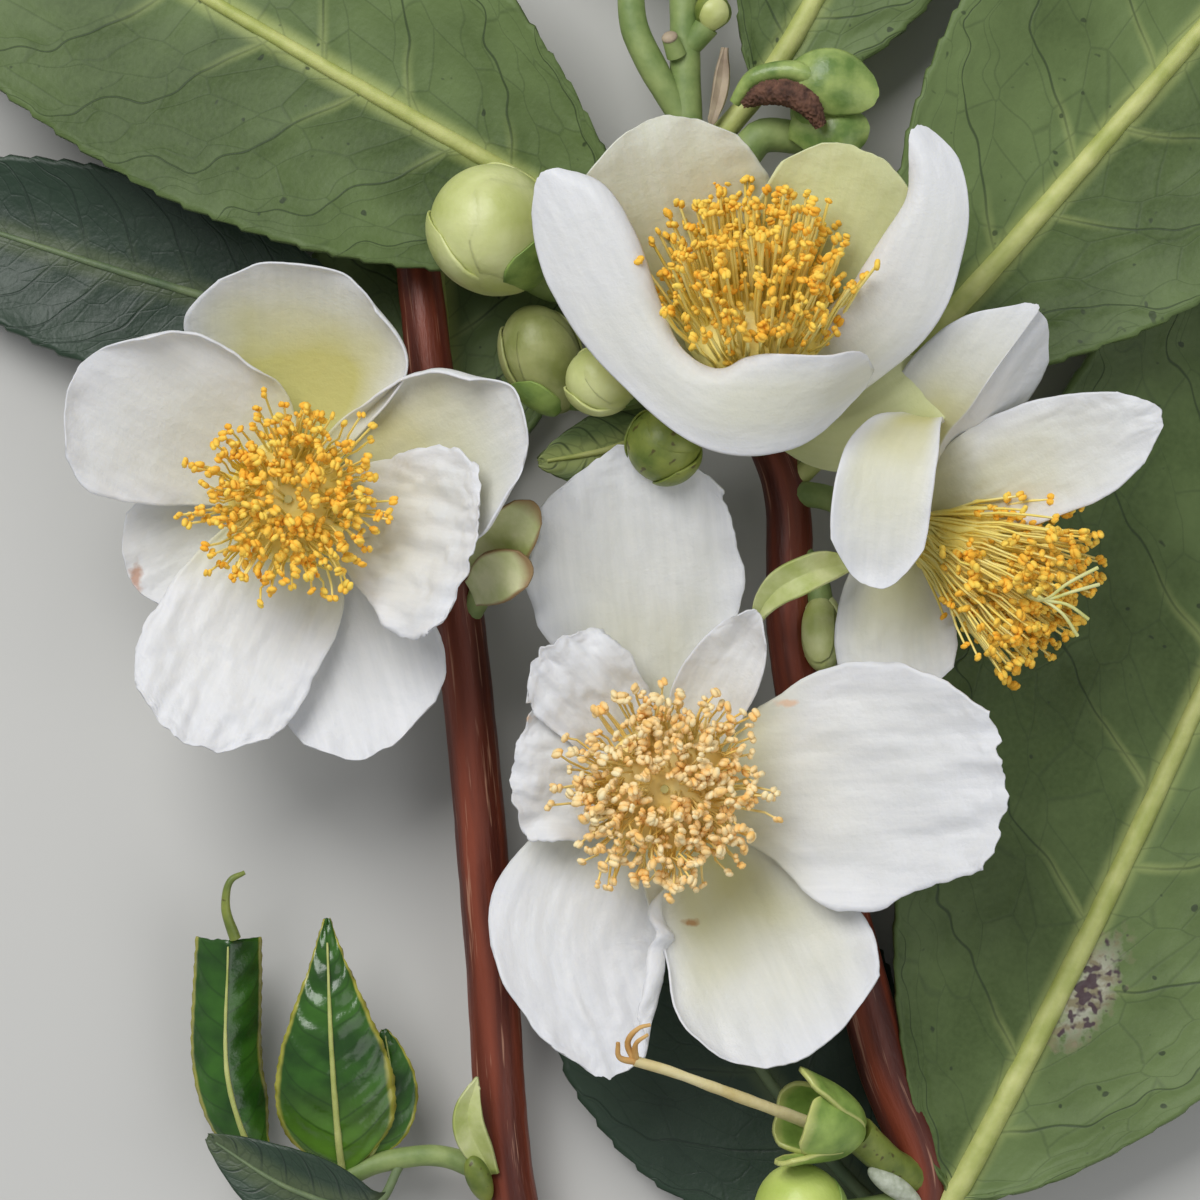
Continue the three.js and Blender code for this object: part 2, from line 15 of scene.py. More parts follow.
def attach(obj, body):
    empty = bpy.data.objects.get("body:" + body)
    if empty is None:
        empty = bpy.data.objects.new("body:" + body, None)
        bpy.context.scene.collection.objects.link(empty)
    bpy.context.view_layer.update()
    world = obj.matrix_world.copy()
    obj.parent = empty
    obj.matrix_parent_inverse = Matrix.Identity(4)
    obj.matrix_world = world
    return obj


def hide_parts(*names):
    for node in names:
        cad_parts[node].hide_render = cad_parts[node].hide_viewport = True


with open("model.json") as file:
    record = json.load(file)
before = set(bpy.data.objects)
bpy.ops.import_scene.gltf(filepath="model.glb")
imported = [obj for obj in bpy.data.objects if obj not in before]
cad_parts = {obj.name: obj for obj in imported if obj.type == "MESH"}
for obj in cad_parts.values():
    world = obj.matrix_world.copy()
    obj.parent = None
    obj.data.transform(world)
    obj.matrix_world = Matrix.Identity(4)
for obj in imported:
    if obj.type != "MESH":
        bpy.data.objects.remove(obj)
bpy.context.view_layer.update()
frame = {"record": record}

# How places are seen
MM = 0.001
EYE_HEIGHT = 480
BLOOM_HEIGHT = 22
HALF_VIEW = 50  # half the width that the camera sees at the height of the blooms
CUT_SEEN = (11.2, -101, 3.6)  # the middle of the main stem's cut end
UP = Vector((0, 0, 1))


def spread(point):
    share = (EYE_HEIGHT - point[2]) / (EYE_HEIGHT - BLOOM_HEIGHT)
    return Vector((point[0] * share, point[1] * share, point[2]))


cut_end = Vector(frame["record"]["mounts"][0]["pos_m"]) / MM
shift = cut_end - spread(CUT_SEEN)


def seen(point):
    return spread(point) + shift


def all_seen(*points):
    return [seen(point) for point in points]


# Sizes that the solids share
HUB_HEIGHT = 1.4
HUB_TOP = 2.2
HUB_RADIUS = 2.7
CALYX_DEPTH = 3.6
CALYX_RADIUS = 3.8
CLEARANCE = 0.3
BLADE_LEAN = 0.86
BLADE_FULLNESS = 0.8

# Sizes that only show close by
PETAL_THICK = 0.17
SEPAL_THICK = 0.3
LEAF_THICK = 0.5
RIB_SUNK = 0.35
GOLDEN_ANGLE = 2.39996
GUIDE_STEPS = 40
DENSE_STEPS = 24
LEAF_STEPS = 90
PETAL_STEPS = 160
ROUND_START = 0.08
LEAST_HALF = 0.06
SEPAL_START = 0.02
SEPAL_STEPS = 24
BOSS_HUB = 2.1
NET_CELLS = 2.1  # fine cells in the space between two side veins
VEIN_SPACING = 0.27  # of a leaf's width
LEAST_SPACING = 2.6
CORE_HEIGHT = 0.56  # of the stamens' height
BUD_BODY = 0.94  # of a bud's radius, the rest is its scales
NOISE = "ShaderNodeTexNoise"
MIX = "ShaderNodeMix"
RANGE = "ShaderNodeMapRange"
FIELD = "GeometryNodeInputNamedAttribute"
STORE = "GeometryNodeStoreNamedAttribute"
SMOOTH = dict(interpolation_type="SMOOTHSTEP")
VECTOR = dict(data_type="FLOAT_VECTOR")


# Nodes
def colour(hexa):
    """An sRGB hex value as linear colour."""
    parts = [int(hexa[i:i + 2], 16) / 255 for i in (1, 3, 5)]
    return tuple(c / 12.92 if c <= 0.04045 else ((c + 0.055) / 1.055) ** 2.4 for c in parts) + (1.0,)


def adder(tree):
    """The one function that adds a node to this tree, with its settings and links.

    A kind in capitals is an operation of a Math node, or of a Vector Math node where VECTOR_ leads it.
    Inputs go by place, or by a name with a capital and with _ for a space, and other names are settings.
    A node given as an input stands for its first output, and a hex value for its colour.
    """
    def add(kind, *places, **names):
        if kind.isupper():
            is_vector = kind.startswith("VECTOR_")
            node = tree.nodes.new("ShaderNodeVectorMath" if is_vector else "ShaderNodeMath")
            node.operation = kind.removeprefix("VECTOR_")
        else:
            node = tree.nodes.new(kind)
        inputs = dict(enumerate(places))
        for name, value in names.items():
            if name[0].isupper():
                inputs[name.replace("_", " ")] = value
            else:
                setattr(node, name, value)
        for key, given in inputs.items():
            if isinstance(given, bpy.types.Node):
                given = given.outputs[0]
            if isinstance(given, bpy.types.NodeSocket):
                tree.links.new(given, node.inputs[key])
            elif given is not None:
                is_hex = isinstance(given, str) and given.startswith("#")
                node.inputs[key].default_value = colour(given) if is_hex else given
        return node
    return add


def new_tree(name, floats, **others):
    """Starts a tree of Geometry Nodes with named inputs, floats and others."""
    tree = bpy.data.node_groups.new(name, "GeometryNodeTree")
    kinds = {"Geometry": "Geometry", **dict.fromkeys(floats.split(), "Float"), **others}
    for label, kind in kinds.items():
        tree.interface.new_socket(label, in_out="INPUT", socket_type="NodeSocket" + kind)
    tree.interface.new_socket("Geometry", in_out="OUTPUT", socket_type="NodeSocketGeometry")
    return tree, adder(tree), tree.nodes.new("NodeGroupInput").outputs


def coated(add, shape, coat):
    """The last steps of every shape: smooth, realized and in its material."""
    smooth = add("GeometryNodeSetShadeSmooth", shape)
    return add("GeometryNodeSetMaterial", add("GeometryNodeRealizeInstances", smooth), Material=coat)


def veins(add, flat, across, spacing):
    """How far a place on a leaf is, in mm, from the next side vein and from the next fine vein.

    Side veins lean forwards from the rib, wander, and bend along the margin to meet the next one.
    """
    x, y, z = add("ShaderNodeSeparateXYZ", flat).outputs
    side = add("ABSOLUTE", x)
    out = add("ABSOLUTE", across)
    which = add("SIGN", across)
    broad = add(NOISE, flat, Scale=0.07, Detail=1.0)
    jagged = add(NOISE, flat, Scale=0.3, Detail=0.0)
    jags = add("MULTIPLY", add("MULTIPLY_ADD", jagged, 1.0, -0.5), add("POWER", out, 2.0))
    shares = add("MULTIPLY", add("POWER", out, 5.0), -0.7)
    for part, weight in ((broad, 0.4), (jags, 0.8), (which, 0.26)):
        shares = add("MULTIPLY_ADD", part, weight, shares)
    forwards = add("MULTIPLY_ADD", side, -0.6, y)
    phase = add("ADD", add("DIVIDE", forwards, spacing), shares)
    centred = add("SUBTRACT", add("FRACT", phase), 0.5)
    arc = add("MULTIPLY", add("MULTIPLY", add("ABSOLUTE", centred), 0.85), spacing)
    beside = add("MULTIPLY_ADD", which, 9.7, add("DIVIDE", side, spacing))
    lattice = add("ShaderNodeCombineXYZ", beside, phase, z)
    cells = add("ShaderNodeTexVoronoi", lattice, Scale=NET_CELLS, Randomness=0.85, feature="DISTANCE_TO_EDGE")
    return arc, add("MULTIPLY", add("MULTIPLY", cells, 1 / NET_CELLS), spacing)


def blade_tree():
    """A petal, sepal or leaf: a grid swept along a guide that holds its two half widths and its curve.

    Its margins and tip roll in where asked. Each blade has its own folds, ruffles, crinkles and teeth,
    and keeps its place on the surface in two attributes: blade is (reach, across, mark) and flat is
    millimetres. On a petal mark is how yellow it is inside, and on a leaf the space between side veins.
    """
    tree, add, given = new_tree(
        "blade", "Ease Bow Frill Teeth Tooth Ruffle Wave Fold Folds Crinkle Grain Left_Roll Right_Roll"
        " Tip_Roll Roll_Radius Keel Quilt Mark Seed",
        Columns="Int", Rows="Int", Across="Vector", Coat="Material")
    guide = add("GeometryNodeMeshToCurve", given["Geometry"])
    length = add("GeometryNodeCurveLength", guide)
    grid = add("GeometryNodeMeshGrid", 2.0, 1.0, given["Columns"], given["Rows"])
    across, up_grid, _ = add("ShaderNodeSeparateXYZ", add("GeometryNodeInputPosition")).outputs
    even = add("ADD", up_grid, 0.5)
    eased = add("SINE", add("MULTIPLY", even, math.pi / 2))
    reach = add(MIX, given["Ease"], None, even, eased)
    outwards = add("ABSOLUTE", across)
    on_left = add("GREATER_THAN", across, 0.0)
    which = add("SIGN", across)
    seed, roll = given["Seed"], given["Roll_Radius"]

    # The tip is bowed and scalloped
    along_rim = add("ShaderNodeCombineXYZ", add("MULTIPLY", across, 2.6), seed)
    scallop = add(NOISE, along_rim, Scale=1.0, Detail=2.0)
    near_tip = add("POWER", reach, 3.0)
    bitten = add("MULTIPLY", add("MULTIPLY", scallop, given["Frill"]), near_tip)
    bow = add("MULTIPLY", add("MULTIPLY", given["Bow"], add("POWER", outwards, 2.5)), near_tip)
    factor = add("MULTIPLY", reach, add("SUBTRACT", 1.0, add("ADD", bow, bitten)))

    # What the guide says there. Past the start of the tip's roll the blade leaves the guide.
    along_mm = add("MULTIPLY", factor, length)
    guided_mm = add("MINIMUM", along_mm, add("SUBTRACT", length, given["Tip_Roll"]))
    past_mm = add("SUBTRACT", along_mm, guided_mm)
    guided = add("DIVIDE", guided_mm, length)
    middle = add("GeometryNodeSampleCurve", Curves=guide, Factor=guided, mode="FACTOR")
    sizes = add("GeometryNodeSampleCurve", Curves=guide, Factor=factor, Value=add(FIELD, "sizes", **VECTOR),
                mode="FACTOR", **VECTOR).outputs["Value"]
    left, right, curve = add("ShaderNodeSeparateXYZ", sizes).outputs
    width = add(MIX, on_left, None, right, left)
    tangent = middle.outputs["Tangent"]
    lengthwise = add("VECTOR_PROJECT", given["Across"], tangent)
    side = add("VECTOR_NORMALIZE", add("VECTOR_SUBTRACT", given["Across"], lengthwise))
    inner = add("VECTOR_CROSS_PRODUCT", tangent, side)

    # The margin wanders and has teeth that point to the tip
    beside = add("ShaderNodeCombineXYZ", add("MULTIPLY", across, 1.3), add("MULTIPLY", reach, 7.0), seed)
    wander = add("MULTIPLY_ADD", add(NOISE, beside, Scale=1.0, Detail=3.0), 2.0, -1.0)
    plain_half = add("MULTIPLY", width, add("MULTIPLY_ADD", wander, given["Frill"], 1.0))
    tooth = add("FRACT", add("MULTIPLY", reach, given["Teeth"]))
    toothed = add("MULTIPLY", add("MULTIPLY", tooth, given["Tooth"]), add("POWER", outwards, 12.0))
    half = add("ADD", plain_half, toothed)
    side_mm = add("MULTIPLY", outwards, half)
    out_mm = add("MULTIPLY", side_mm, which)
    flat = add("ShaderNodeCombineXYZ", out_mm, along_mm, seed)

    # Across it is one arc, then a tighter one where the margin rolls
    grip = add(RANGE, reach, 0.12, 0.45, **SMOOTH)
    zone = add(MIX, on_left, None, given["Right_Roll"], given["Left_Roll"])
    held = add("MINIMUM", side_mm, add("SUBTRACT", half, add("MULTIPLY", zone, grip)))
    free = add("SUBTRACT", side_mm, held)
    first = add("MULTIPLY", held, curve)
    second = add("ADD", first, add("DIVIDE", free, roll))
    sine = add("SINE", first)
    cosine = add("COSINE", first)
    over = add("MULTIPLY_ADD", add("SUBTRACT", add("SINE", second), sine), roll, add("DIVIDE", sine, curve))
    risen = add("DIVIDE", add("SUBTRACT", 1.0, cosine), curve)
    bowl = add("MULTIPLY_ADD", add("SUBTRACT", cosine, add("COSINE", second)), roll, risen)
    tip_turn = add("DIVIDE", past_mm, roll)
    onwards = add("MULTIPLY", add("SINE", tip_turn), roll)
    tip_rise = add("MULTIPLY", add("SUBTRACT", 1.0, add("COSINE", tip_turn)), roll)

    # How far the surface stands off that shape
    rim = add("MAXIMUM", add("POWER", outwards, 3.0), add("POWER", reach, 9.0))
    waves = add(NOISE, add("VECTOR_SCALE", flat, Scale=given["Wave"]), Scale=1.0, Detail=1.0)
    ruffle = add("MULTIPLY", add("MULTIPLY_ADD", waves, 2.0, -1.0), given["Ruffle"])
    out_folds = add("MULTIPLY", out_mm, given["Folds"])
    fan = add("ShaderNodeCombineXYZ", out_folds, add("MULTIPLY", reach, 2.2), seed)
    folds = add("MULTIPLY_ADD", add(NOISE, fan, Scale=1.0, Detail=1.0), 2.0, -1.0)
    drawn = add("VECTOR_SCALE", add("VECTOR_MULTIPLY", flat, (1.0, 0.62, 1.0)), Scale=given["Grain"])
    fine = add(NOISE, drawn, Scale=1.0, Detail=2.0, Distortion=0.8)
    ridges = add("ABSOLUTE", add("MULTIPLY_ADD", fine, 2.0, -1.0))
    arc, net = veins(add, flat, across, given["Mark"])
    panel = add(RANGE, arc, 0.0, 1.7, 0.0, 0.18, **SMOOTH)
    small_panel = add(RANGE, net, 0.0, 0.8, 0.0, 0.1, **SMOOTH)
    lift = bowl
    for part in (
        tip_rise,
        add("MULTIPLY", ruffle, rim),
        add("MULTIPLY", add("MULTIPLY", folds, given["Fold"]), reach),
        add("MULTIPLY", ridges, given["Crinkle"]),
        add("MULTIPLY", side_mm, given["Keel"]),
        add("MULTIPLY", add("ADD", panel, small_panel), given["Quilt"]),
    ):
        lift = add("ADD", lift, part)

    there = middle.outputs["Position"]
    for way, far in ((side, add("MULTIPLY", over, which)), (inner, lift), (tangent, onwards)):
        there = add("VECTOR_ADD", there, add("VECTOR_SCALE", way, Scale=far))
    kept = grid
    on_blade = add("ShaderNodeCombineXYZ", reach, across, given["Mark"])
    for label, value in (("blade", on_blade), ("flat", flat)):
        kept = add(STORE, kept, Name=label, Value=value, domain="POINT", **VECTOR)
    shaped = add("GeometryNodeSetPosition", kept, Position=there)
    add("NodeGroupOutput", coated(add, shaped, given["Coat"]))
    return tree


def tube(add, line, girth, sides, **fields):
    """A closed tube round a line, with what its ring says kept in fields."""
    line = add("GeometryNodeSetCurveRadius", line, Radius=girth)
    ring = add("GeometryNodeCurvePrimitiveCircle", Resolution=sides, Radius=1.0)
    for label, value in fields.items():
        ring = add(STORE, ring, Name=label, Value=value, domain="POINT", **VECTOR)
    made = add("GeometryNodeCurveToMesh", line, Profile_Curve=ring, Fill_Caps=True)
    if "Scale" in made.inputs:
        made.id_data.links.new(girth.outputs[0], made.inputs["Scale"])
    return made


def limb_tree():
    """A twig, stalk, rib, style or bud: a tube along a guide that holds its girth, slightly knobbly."""
    tree, add, given = new_tree("limb", "Knob Lump Seed", Sides="Int", Coat="Material")
    guide = add("GeometryNodeMeshToCurve", given["Geometry"])
    along = add("GeometryNodeSplineParameter").outputs["Length"]
    guide = add(STORE, guide, Name="along", Value=along, data_type="FLOAT", domain="POINT")
    place = add("GeometryNodeInputPosition")
    limb = tube(add, guide, add(FIELD, "girth", data_type="FLOAT"), given["Sides"], round=place)
    seeded = add("VECTOR_ADD", add("VECTOR_SCALE", place, Scale=given["Lump"]), given["Seed"])
    uneven = add("MULTIPLY_ADD", add(NOISE, seeded, Scale=1.0, Detail=2.0), 2.0, -1.0)
    knob = add("MULTIPLY", uneven, given["Knob"])
    out = add("VECTOR_SCALE", add("GeometryNodeInputNormal"), Scale=knob)
    add("NodeGroupOutput", coated(add, add("GeometryNodeSetPosition", limb, Offset=out), given["Coat"]))
    return tree


def boss_tree():
    """A boss of stamens on points that hold where each one's tip is: bent filaments with anthers."""
    tree, add, given = new_tree("boss", "Girth Bend Anther", Seed="Int", Coat="Material", Dust="Material")
    feet = add("GeometryNodeMeshToPoints", given["Geometry"])
    rod = add("GeometryNodeResampleCurve", add("GeometryNodeCurvePrimitiveLine", End=(0, 0, 1)), Count=6)
    tip = add(FIELD, "tip", **VECTOR)
    aim = add("FunctionNodeAlignRotationToVector", Vector=tip, axis="Z")
    size = add("ShaderNodeCombineXYZ", 1.0, 1.0, add("VECTOR_LENGTH", tip).outputs["Value"])
    rods = add("GeometryNodeInstanceOnPoints", feet, Instance=rod, Rotation=aim, Scale=size)
    rods = add("GeometryNodeRealizeInstances", rods)

    # Filaments stand up from the hub before they lean, and wander on their way
    how_far = add("GeometryNodeSplineParameter").outputs["Factor"]
    arch = add("SINE", add("MULTIPLY", how_far, math.pi))
    stray = add(NOISE, add("GeometryNodeInputPosition"), Scale=0.35, Detail=1.0, noise_dimensions="3D")
    astray = add("VECTOR_SUBTRACT", stray.outputs["Color"], (0.5, 0.5, 0.5))
    swing = add("VECTOR_SCALE", astray, Scale=add("MULTIPLY", arch, given["Bend"]))
    bent = add("GeometryNodeSetPosition", rods, Offset=swing)
    thin = add("MULTIPLY", add("MULTIPLY_ADD", how_far, -0.35, 1.0), given["Girth"])
    threads = tube(add, bent, thin, 4)

    # An anther is two plump lobes side by side
    lobe = add("GeometryNodeMeshUVSphere", 6, 4, 0.52)
    end = add("GeometryNodeCurveEndpointSelection", Start_Size=0, End_Size=1)
    toss = add("FunctionNodeRandomValue", (-1.2, -1.2, -3.1), (1.2, 1.2, 3.1), Seed=given["Seed"], **VECTOR)
    grow = add("FunctionNodeRandomValue", None, None, 0.75, 1.15, Seed=given["Seed"], data_type="FLOAT")
    big = add("MULTIPLY", grow.outputs[1], given["Anther"])
    anther, both = add("GeometryNodeJoinGeometry"), add("GeometryNodeJoinGeometry")
    for x in (-0.24, 0.24):
        half = add("GeometryNodeTransform", lobe, Translation=(x, 0, 0), Scale=(0.62, 0.62, 1.0))
        tree.links.new(half.outputs[0], anther.inputs[0])
    anthers = add("GeometryNodeInstanceOnPoints", bent, Selection=end, Instance=anther, Rotation=toss,
                  Scale=big)
    for shape, coat in ((threads, given["Coat"]), (anthers, given["Dust"])):
        tree.links.new(coated(add, shape, coat).outputs[0], both.inputs[0])
    add("NodeGroupOutput", both)
    return tree


# Growing and finishing
def guide(points, **fields):
    """A line of points that holds fields, from which a tree grows a shape."""
    mesh = bpy.data.meshes.new("guide")
    mesh.from_pydata([tuple(p) for p in points], [(i, i + 1) for i in range(len(points) - 1)], [])
    for label, values in fields.items():
        kind = "FLOAT" if np.ndim(values) == 1 else "FLOAT_VECTOR"
        field = mesh.attributes.new(label, kind, "POINT")
        field.data.foreach_set("value" if kind == "FLOAT" else "vector", np.ravel(values))
    return in_scene("guide", mesh)


def in_scene(name, data):
    made = bpy.data.objects.new(name, data)
    bpy.context.scene.collection.objects.link(made)
    return made


def grown(line, tree, thick=0, **sizes):
    """Grows a tree on a guide, thickens it where asked, and gives it back as a plain closed mesh."""
    modifier = line.modifiers.new(tree.name, "NODES")
    modifier.node_group = tree
    for socket in tree.interface.items_tree:
        size = sizes.get(socket.name.lower())
        if size is not None:
            modifier[socket.identifier] = float(size) if socket.socket_type == "NodeSocketFloat" else size
    if thick:
        wall = line.modifiers.new("wall", "SOLIDIFY")
        wall.thickness = thick
        wall.offset = 0
    graph = bpy.context.evaluated_depsgraph_get()
    mesh = bpy.data.meshes.new_from_object(line.evaluated_get(graph), preserve_all_data_layers=True,
                                           depsgraph=graph)
    bpy.data.objects.remove(line)
    shell = bmesh.new()
    shell.from_mesh(mesh)
    bmesh.ops.recalc_face_normals(shell, faces=shell.faces)
    shell.to_mesh(mesh)
    shell.free()
    return in_scene("grown", mesh)


def piece(name, parts, slot, *nodes):
    whole = parts[0]
    if len(parts) > 1:
        with bpy.context.temp_override(active_object=whole, object=whole, selected_objects=parts,
                                       selected_editable_objects=parts):
            bpy.ops.object.join()
    whole.name = whole.data.name = name
    whole.data.transform(Matrix.Scale(MM, 4))
    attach(whole, "root")
    if nodes:
        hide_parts(*nodes)
    return whole


# Lines
def centripetal(points, count):
    """A smooth line through the points, with the given count of even steps."""
    points = [Vector(p) for p in points]
    points = [2 * points[0] - points[1]] + points + [2 * points[-1] - points[-2]]
    dense = []
    for a, b, c, d in zip(points, points[1:], points[2:], points[3:]):
        tb = (b - a).length ** 0.5
        tc = tb + (c - b).length ** 0.5
        td = tc + (d - c).length ** 0.5
        for t in np.linspace(tb, tc, DENSE_STEPS, endpoint=False):
            ab = a.lerp(b, t / tb)
            bc = b.lerp(c, (t - tb) / (tc - tb))
            cd = c.lerp(d, (t - tc) / (td - tc))
            dense.append(ab.lerp(bc, t / tc).lerp(bc.lerp(cd, (t - tb) / (td - tb)), (t - tb) / (tc - tb)))
    dense = np.array(dense + [points[-2]])
    gone = np.concatenate([[0], np.cumsum(np.linalg.norm(np.diff(dense, axis=0), axis=1))])
    even = np.linspace(0, gone[-1], count)
    return np.stack([np.interp(even, gone, dense[:, k]) for k in range(3)], 1)


def bezier(start, middle, end, count):
    t = np.linspace(0, 1, count)[:, None]
    return (1 - t) ** 2 * np.array(start) + 2 * t * (1 - t) * np.array(middle) + t ** 2 * np.array(end)


def limb(points, girths, coat, count=GUIDE_STEPS, sides=16, knob=0.0, lump=0.4, seed=0):
    """A tapering tube through points, with its girth given at even steps."""
    steps = np.linspace(0, 1, count)
    girth = np.interp(steps, np.linspace(0, 1, len(girths)), girths)
    line = guide(centripetal(points, count), girth=girth)
    return grown(line, LIMB, sides=sides, knob=knob, lump=lump, seed=seed, coat=coat)


def roundness(s):
    return np.sqrt(np.clip(1 - (2 * s - 1) ** 2, 0.0004, 1))


def mound(s):
    """Narrow at the foot and round at the top, like the stamens' bundle."""
    top = np.sqrt(np.clip(1 - np.maximum((s - 0.55) / 0.46, 0) ** 2, 0.0004, 1))
    return (0.45 + 0.55 * np.minimum(s / 0.6, 1)) * top


def bud_roundness(s):
    return roundness(s ** 1.15)


def open_cup(s):
    """Narrow at the foot and wide open at the mouth."""
    return np.sqrt(np.clip(1 - (1 - s) ** 2.6, 0.0004, 1))


def lump(foot, tip, radius, coat, shape=roundness, rings=26, sides=28, knob=0.0, size=0.3, seed=0):
    """A round body from its foot to its tip."""
    s = 0.5 - 0.5 * np.cos(np.linspace(0, np.pi, rings))
    line = guide(np.array(foot) + s[:, None] * (np.array(tip) - np.array(foot)), girth=radius * shape(s))
    return grown(line, LIMB, sides=sides, knob=knob, lump=size, seed=seed, coat=coat)


# Materials
def new_material(name):
    made = bpy.data.materials.new(name)
    made.use_nodes = True
    made.node_tree.nodes.clear()
    return made, adder(made.node_tree)


def skin(add, under, layers, height, strength, depth, **finish):
    """Lays colours on a first one, each as far as its share says, and adds relief and the shader."""
    for share, over in layers:
        under = add(MIX, share, *[None] * 5, under, over, data_type="RGBA").outputs[2]
    bump = add("ShaderNodeBump", Height=height, Strength=strength, Distance=depth * MM)
    shader = add("ShaderNodeBsdfPrincipled", under, Normal=bump, **finish)
    add("ShaderNodeOutputMaterial", shader)


def surface_place(add):
    """Reach, across and mark, how far out that is on either side, and millimetres on the blade."""
    blade = add("ShaderNodeSeparateXYZ", add("ShaderNodeAttribute", attribute_name="blade").outputs["Vector"])
    reach, across, mark = blade.outputs
    flat = add("ShaderNodeAttribute", attribute_name="flat").outputs["Vector"]
    return reach, across, mark, add("ABSOLUTE", across), flat


def millimetres(add):
    """Object coordinates in millimetres."""
    return add("VECTOR_SCALE", add("ShaderNodeTexCoord").outputs["Object"], Scale=1 / MM)


def petal_material(name, light, dark, inner):
    """Petal skin: watery pale cells that let light through, with fine veins and a cream claw.

    A blade that starts away from the hub has no claw: its mark is below nought.
    """
    made, add = new_material(name)
    reach, _, mark, out, flat = surface_place(add)
    claw = add(RANGE, reach, 0.08, 0.5, 0.75, 0.0, **SMOOTH)
    claw = add("MULTIPLY", claw, add("GREATER_THAN", mark, 0.0))
    patchy = add(NOISE, flat, Scale=0.13, Detail=2.0)
    inside = add(RANGE, add("SMOOTH_MAX", out, reach, 0.3), 0.3, 1.0, 1.0, 0.0)
    uneven = add(RANGE, patchy, 0.3, 0.62, 0.7, 1.1)
    bowl = add("MULTIPLY", add("MULTIPLY", inside, add("ABSOLUTE", mark)), uneven)
    cream = add("MAXIMUM", claw, bowl, use_clamp=True)
    fan = add("VECTOR_MULTIPLY", flat, (1.5, 0.16, 1.0))
    lines = add(NOISE, fan, Scale=1.0, Detail=2.0, Roughness=0.6)
    cells = add(NOISE, flat, Scale=1.1, Detail=3.0, Roughness=0.65)
    layers = [(add(RANGE, lines, 0.3, 0.7), light), (cream, inner)]
    layers += [(bruise(add, spot, size), tint) for spot, size, tint in STAINS]
    skin(add, dark, layers, add("MULTIPLY_ADD", lines, 0.1, cells), 0.5, 0.16, Roughness=0.5,
         Subsurface_Weight=0.2, Subsurface_Radius=(1.0, 0.92, 0.7), Subsurface_Scale=0.8 * MM,
         Specular_IOR_Level=0.3)
    return made


def bruise(add, spot, size):
    """A small stain with a ragged edge, where a petal has begun to brown."""
    place = millimetres(add)
    away = add("VECTOR_SUBTRACT", place, tuple(seen(spot)))
    scaled = add("VECTOR_MULTIPLY", away, (1 / size[0], 1 / size[1], 0))
    far = add("VECTOR_LENGTH", scaled).outputs["Value"]
    ragged = add("MULTIPLY_ADD", add(NOISE, place, Scale=1.4, Detail=3.0), 1.5, far)
    return add(RANGE, ragged, 1.1, 1.75, 0.8, 0.0)


def leaf_material(name, light, dark, vein, rough, shine, spots, painted_half_light=0.0, halo=0.6):
    """Leathery leaf skin: mottled green, pale along its ribs, with a thin dark net and a few specks."""
    made, add = new_material(name)
    _, across, mark, out, flat = surface_place(add)
    side_mm = add("ABSOLUTE", add("ShaderNodeSeparateXYZ", flat).outputs["X"])
    arc, net = veins(add, flat, across, mark)
    mottle = add(NOISE, flat, Scale=0.1, Detail=4.0, Roughness=0.55)
    # Mottled, and one half of the blade painted lighter than the other as painted light and shade; the sign
    # says which half.
    shade = add(RANGE, add("MULTIPLY_ADD", add("SIGN", across), painted_half_light, mottle), 0.3, 0.7)
    grain = add(NOISE, flat, Scale=2.0, Detail=3.0)
    grained = add(RANGE, grain, 0.3, 0.7, 0.0, 0.25)

    # Beside the rib the skin is pale, and so is each side vein as far as it stands out
    by_rib = add(RANGE, side_mm, 0.5, 1.9, halo, 0.0, **SMOOTH)
    root = add(RANGE, out, 0.06, 0.4, 0.6 * halo, 0.0)
    raised = add(RANGE, arc, 0.1, 0.7, 1.0, 0.0, **SMOOTH)
    paler = add("MAXIMUM", by_rib, add("MULTIPLY", root, raised))
    thread = add(RANGE, arc, 0.04, 0.15, 0.75, 0.0)
    thread = add("MULTIPLY", thread, add(RANGE, out, 0.1, 0.4, 0.35, 1.0))
    dark_lines = add("MAXIMUM", thread, add(RANGE, net, 0.02, 0.12, 0.26, 0.0))
    specks = add(RANGE, add(NOISE, flat, Scale=0.75, Detail=1.0), 0.735, 0.77, 0.0, spots)
    margin = add(RANGE, out, 0.965, 0.995, 0.0, 0.6)
    layers = [(shade, light), (grained, light), (paler, "#b3bd74"), (dark_lines, vein), (specks, "#2a3620"),
              (margin, light)] + (blemish(add) if spots else [])
    skin(add, dark, layers, add("MULTIPLY_ADD", dark_lines, -1.0, grain), 0.4, 0.12, Roughness=rough,
         Specular_IOR_Level=shine)
    return made


def blemish(add):
    """A healed wound beside a rib: grey scurf round dark purple spots."""
    place = millimetres(add)
    away = add("VECTOR_SUBTRACT", place, tuple(seen(BLEMISH)))
    away = add("ShaderNodeVectorRotate", away, Angle=BLEMISH_LEAN, rotation_type="Z_AXIS")
    scaled = add("VECTOR_MULTIPLY", away, (1 / BLEMISH_HALF[0], 1 / BLEMISH_HALF[1], 0))
    far = add("VECTOR_LENGTH", scaled).outputs["Value"]
    rough = add(NOISE, place, Scale=0.8, Detail=3.0)
    scurf = add(RANGE, add("MULTIPLY_ADD", rough, 1.6, far), 1.3, 1.75, 0.8, 0.0)
    flakes = add(RANGE, rough, 0.42, 0.58)
    crust = add(MIX, flakes, *[None] * 5, "#8a7d66", "#b9b6a6", data_type="RGBA").outputs[2]
    spot = add(NOISE, place, Scale=1.3, Detail=1.0)
    inner = add("MULTIPLY_ADD", spot, 0.9, add("MULTIPLY", far, -0.35))
    return [(scurf, crust), (add(RANGE, inner, 0.3, 0.4, 0.0, 0.9), "#412a38")]


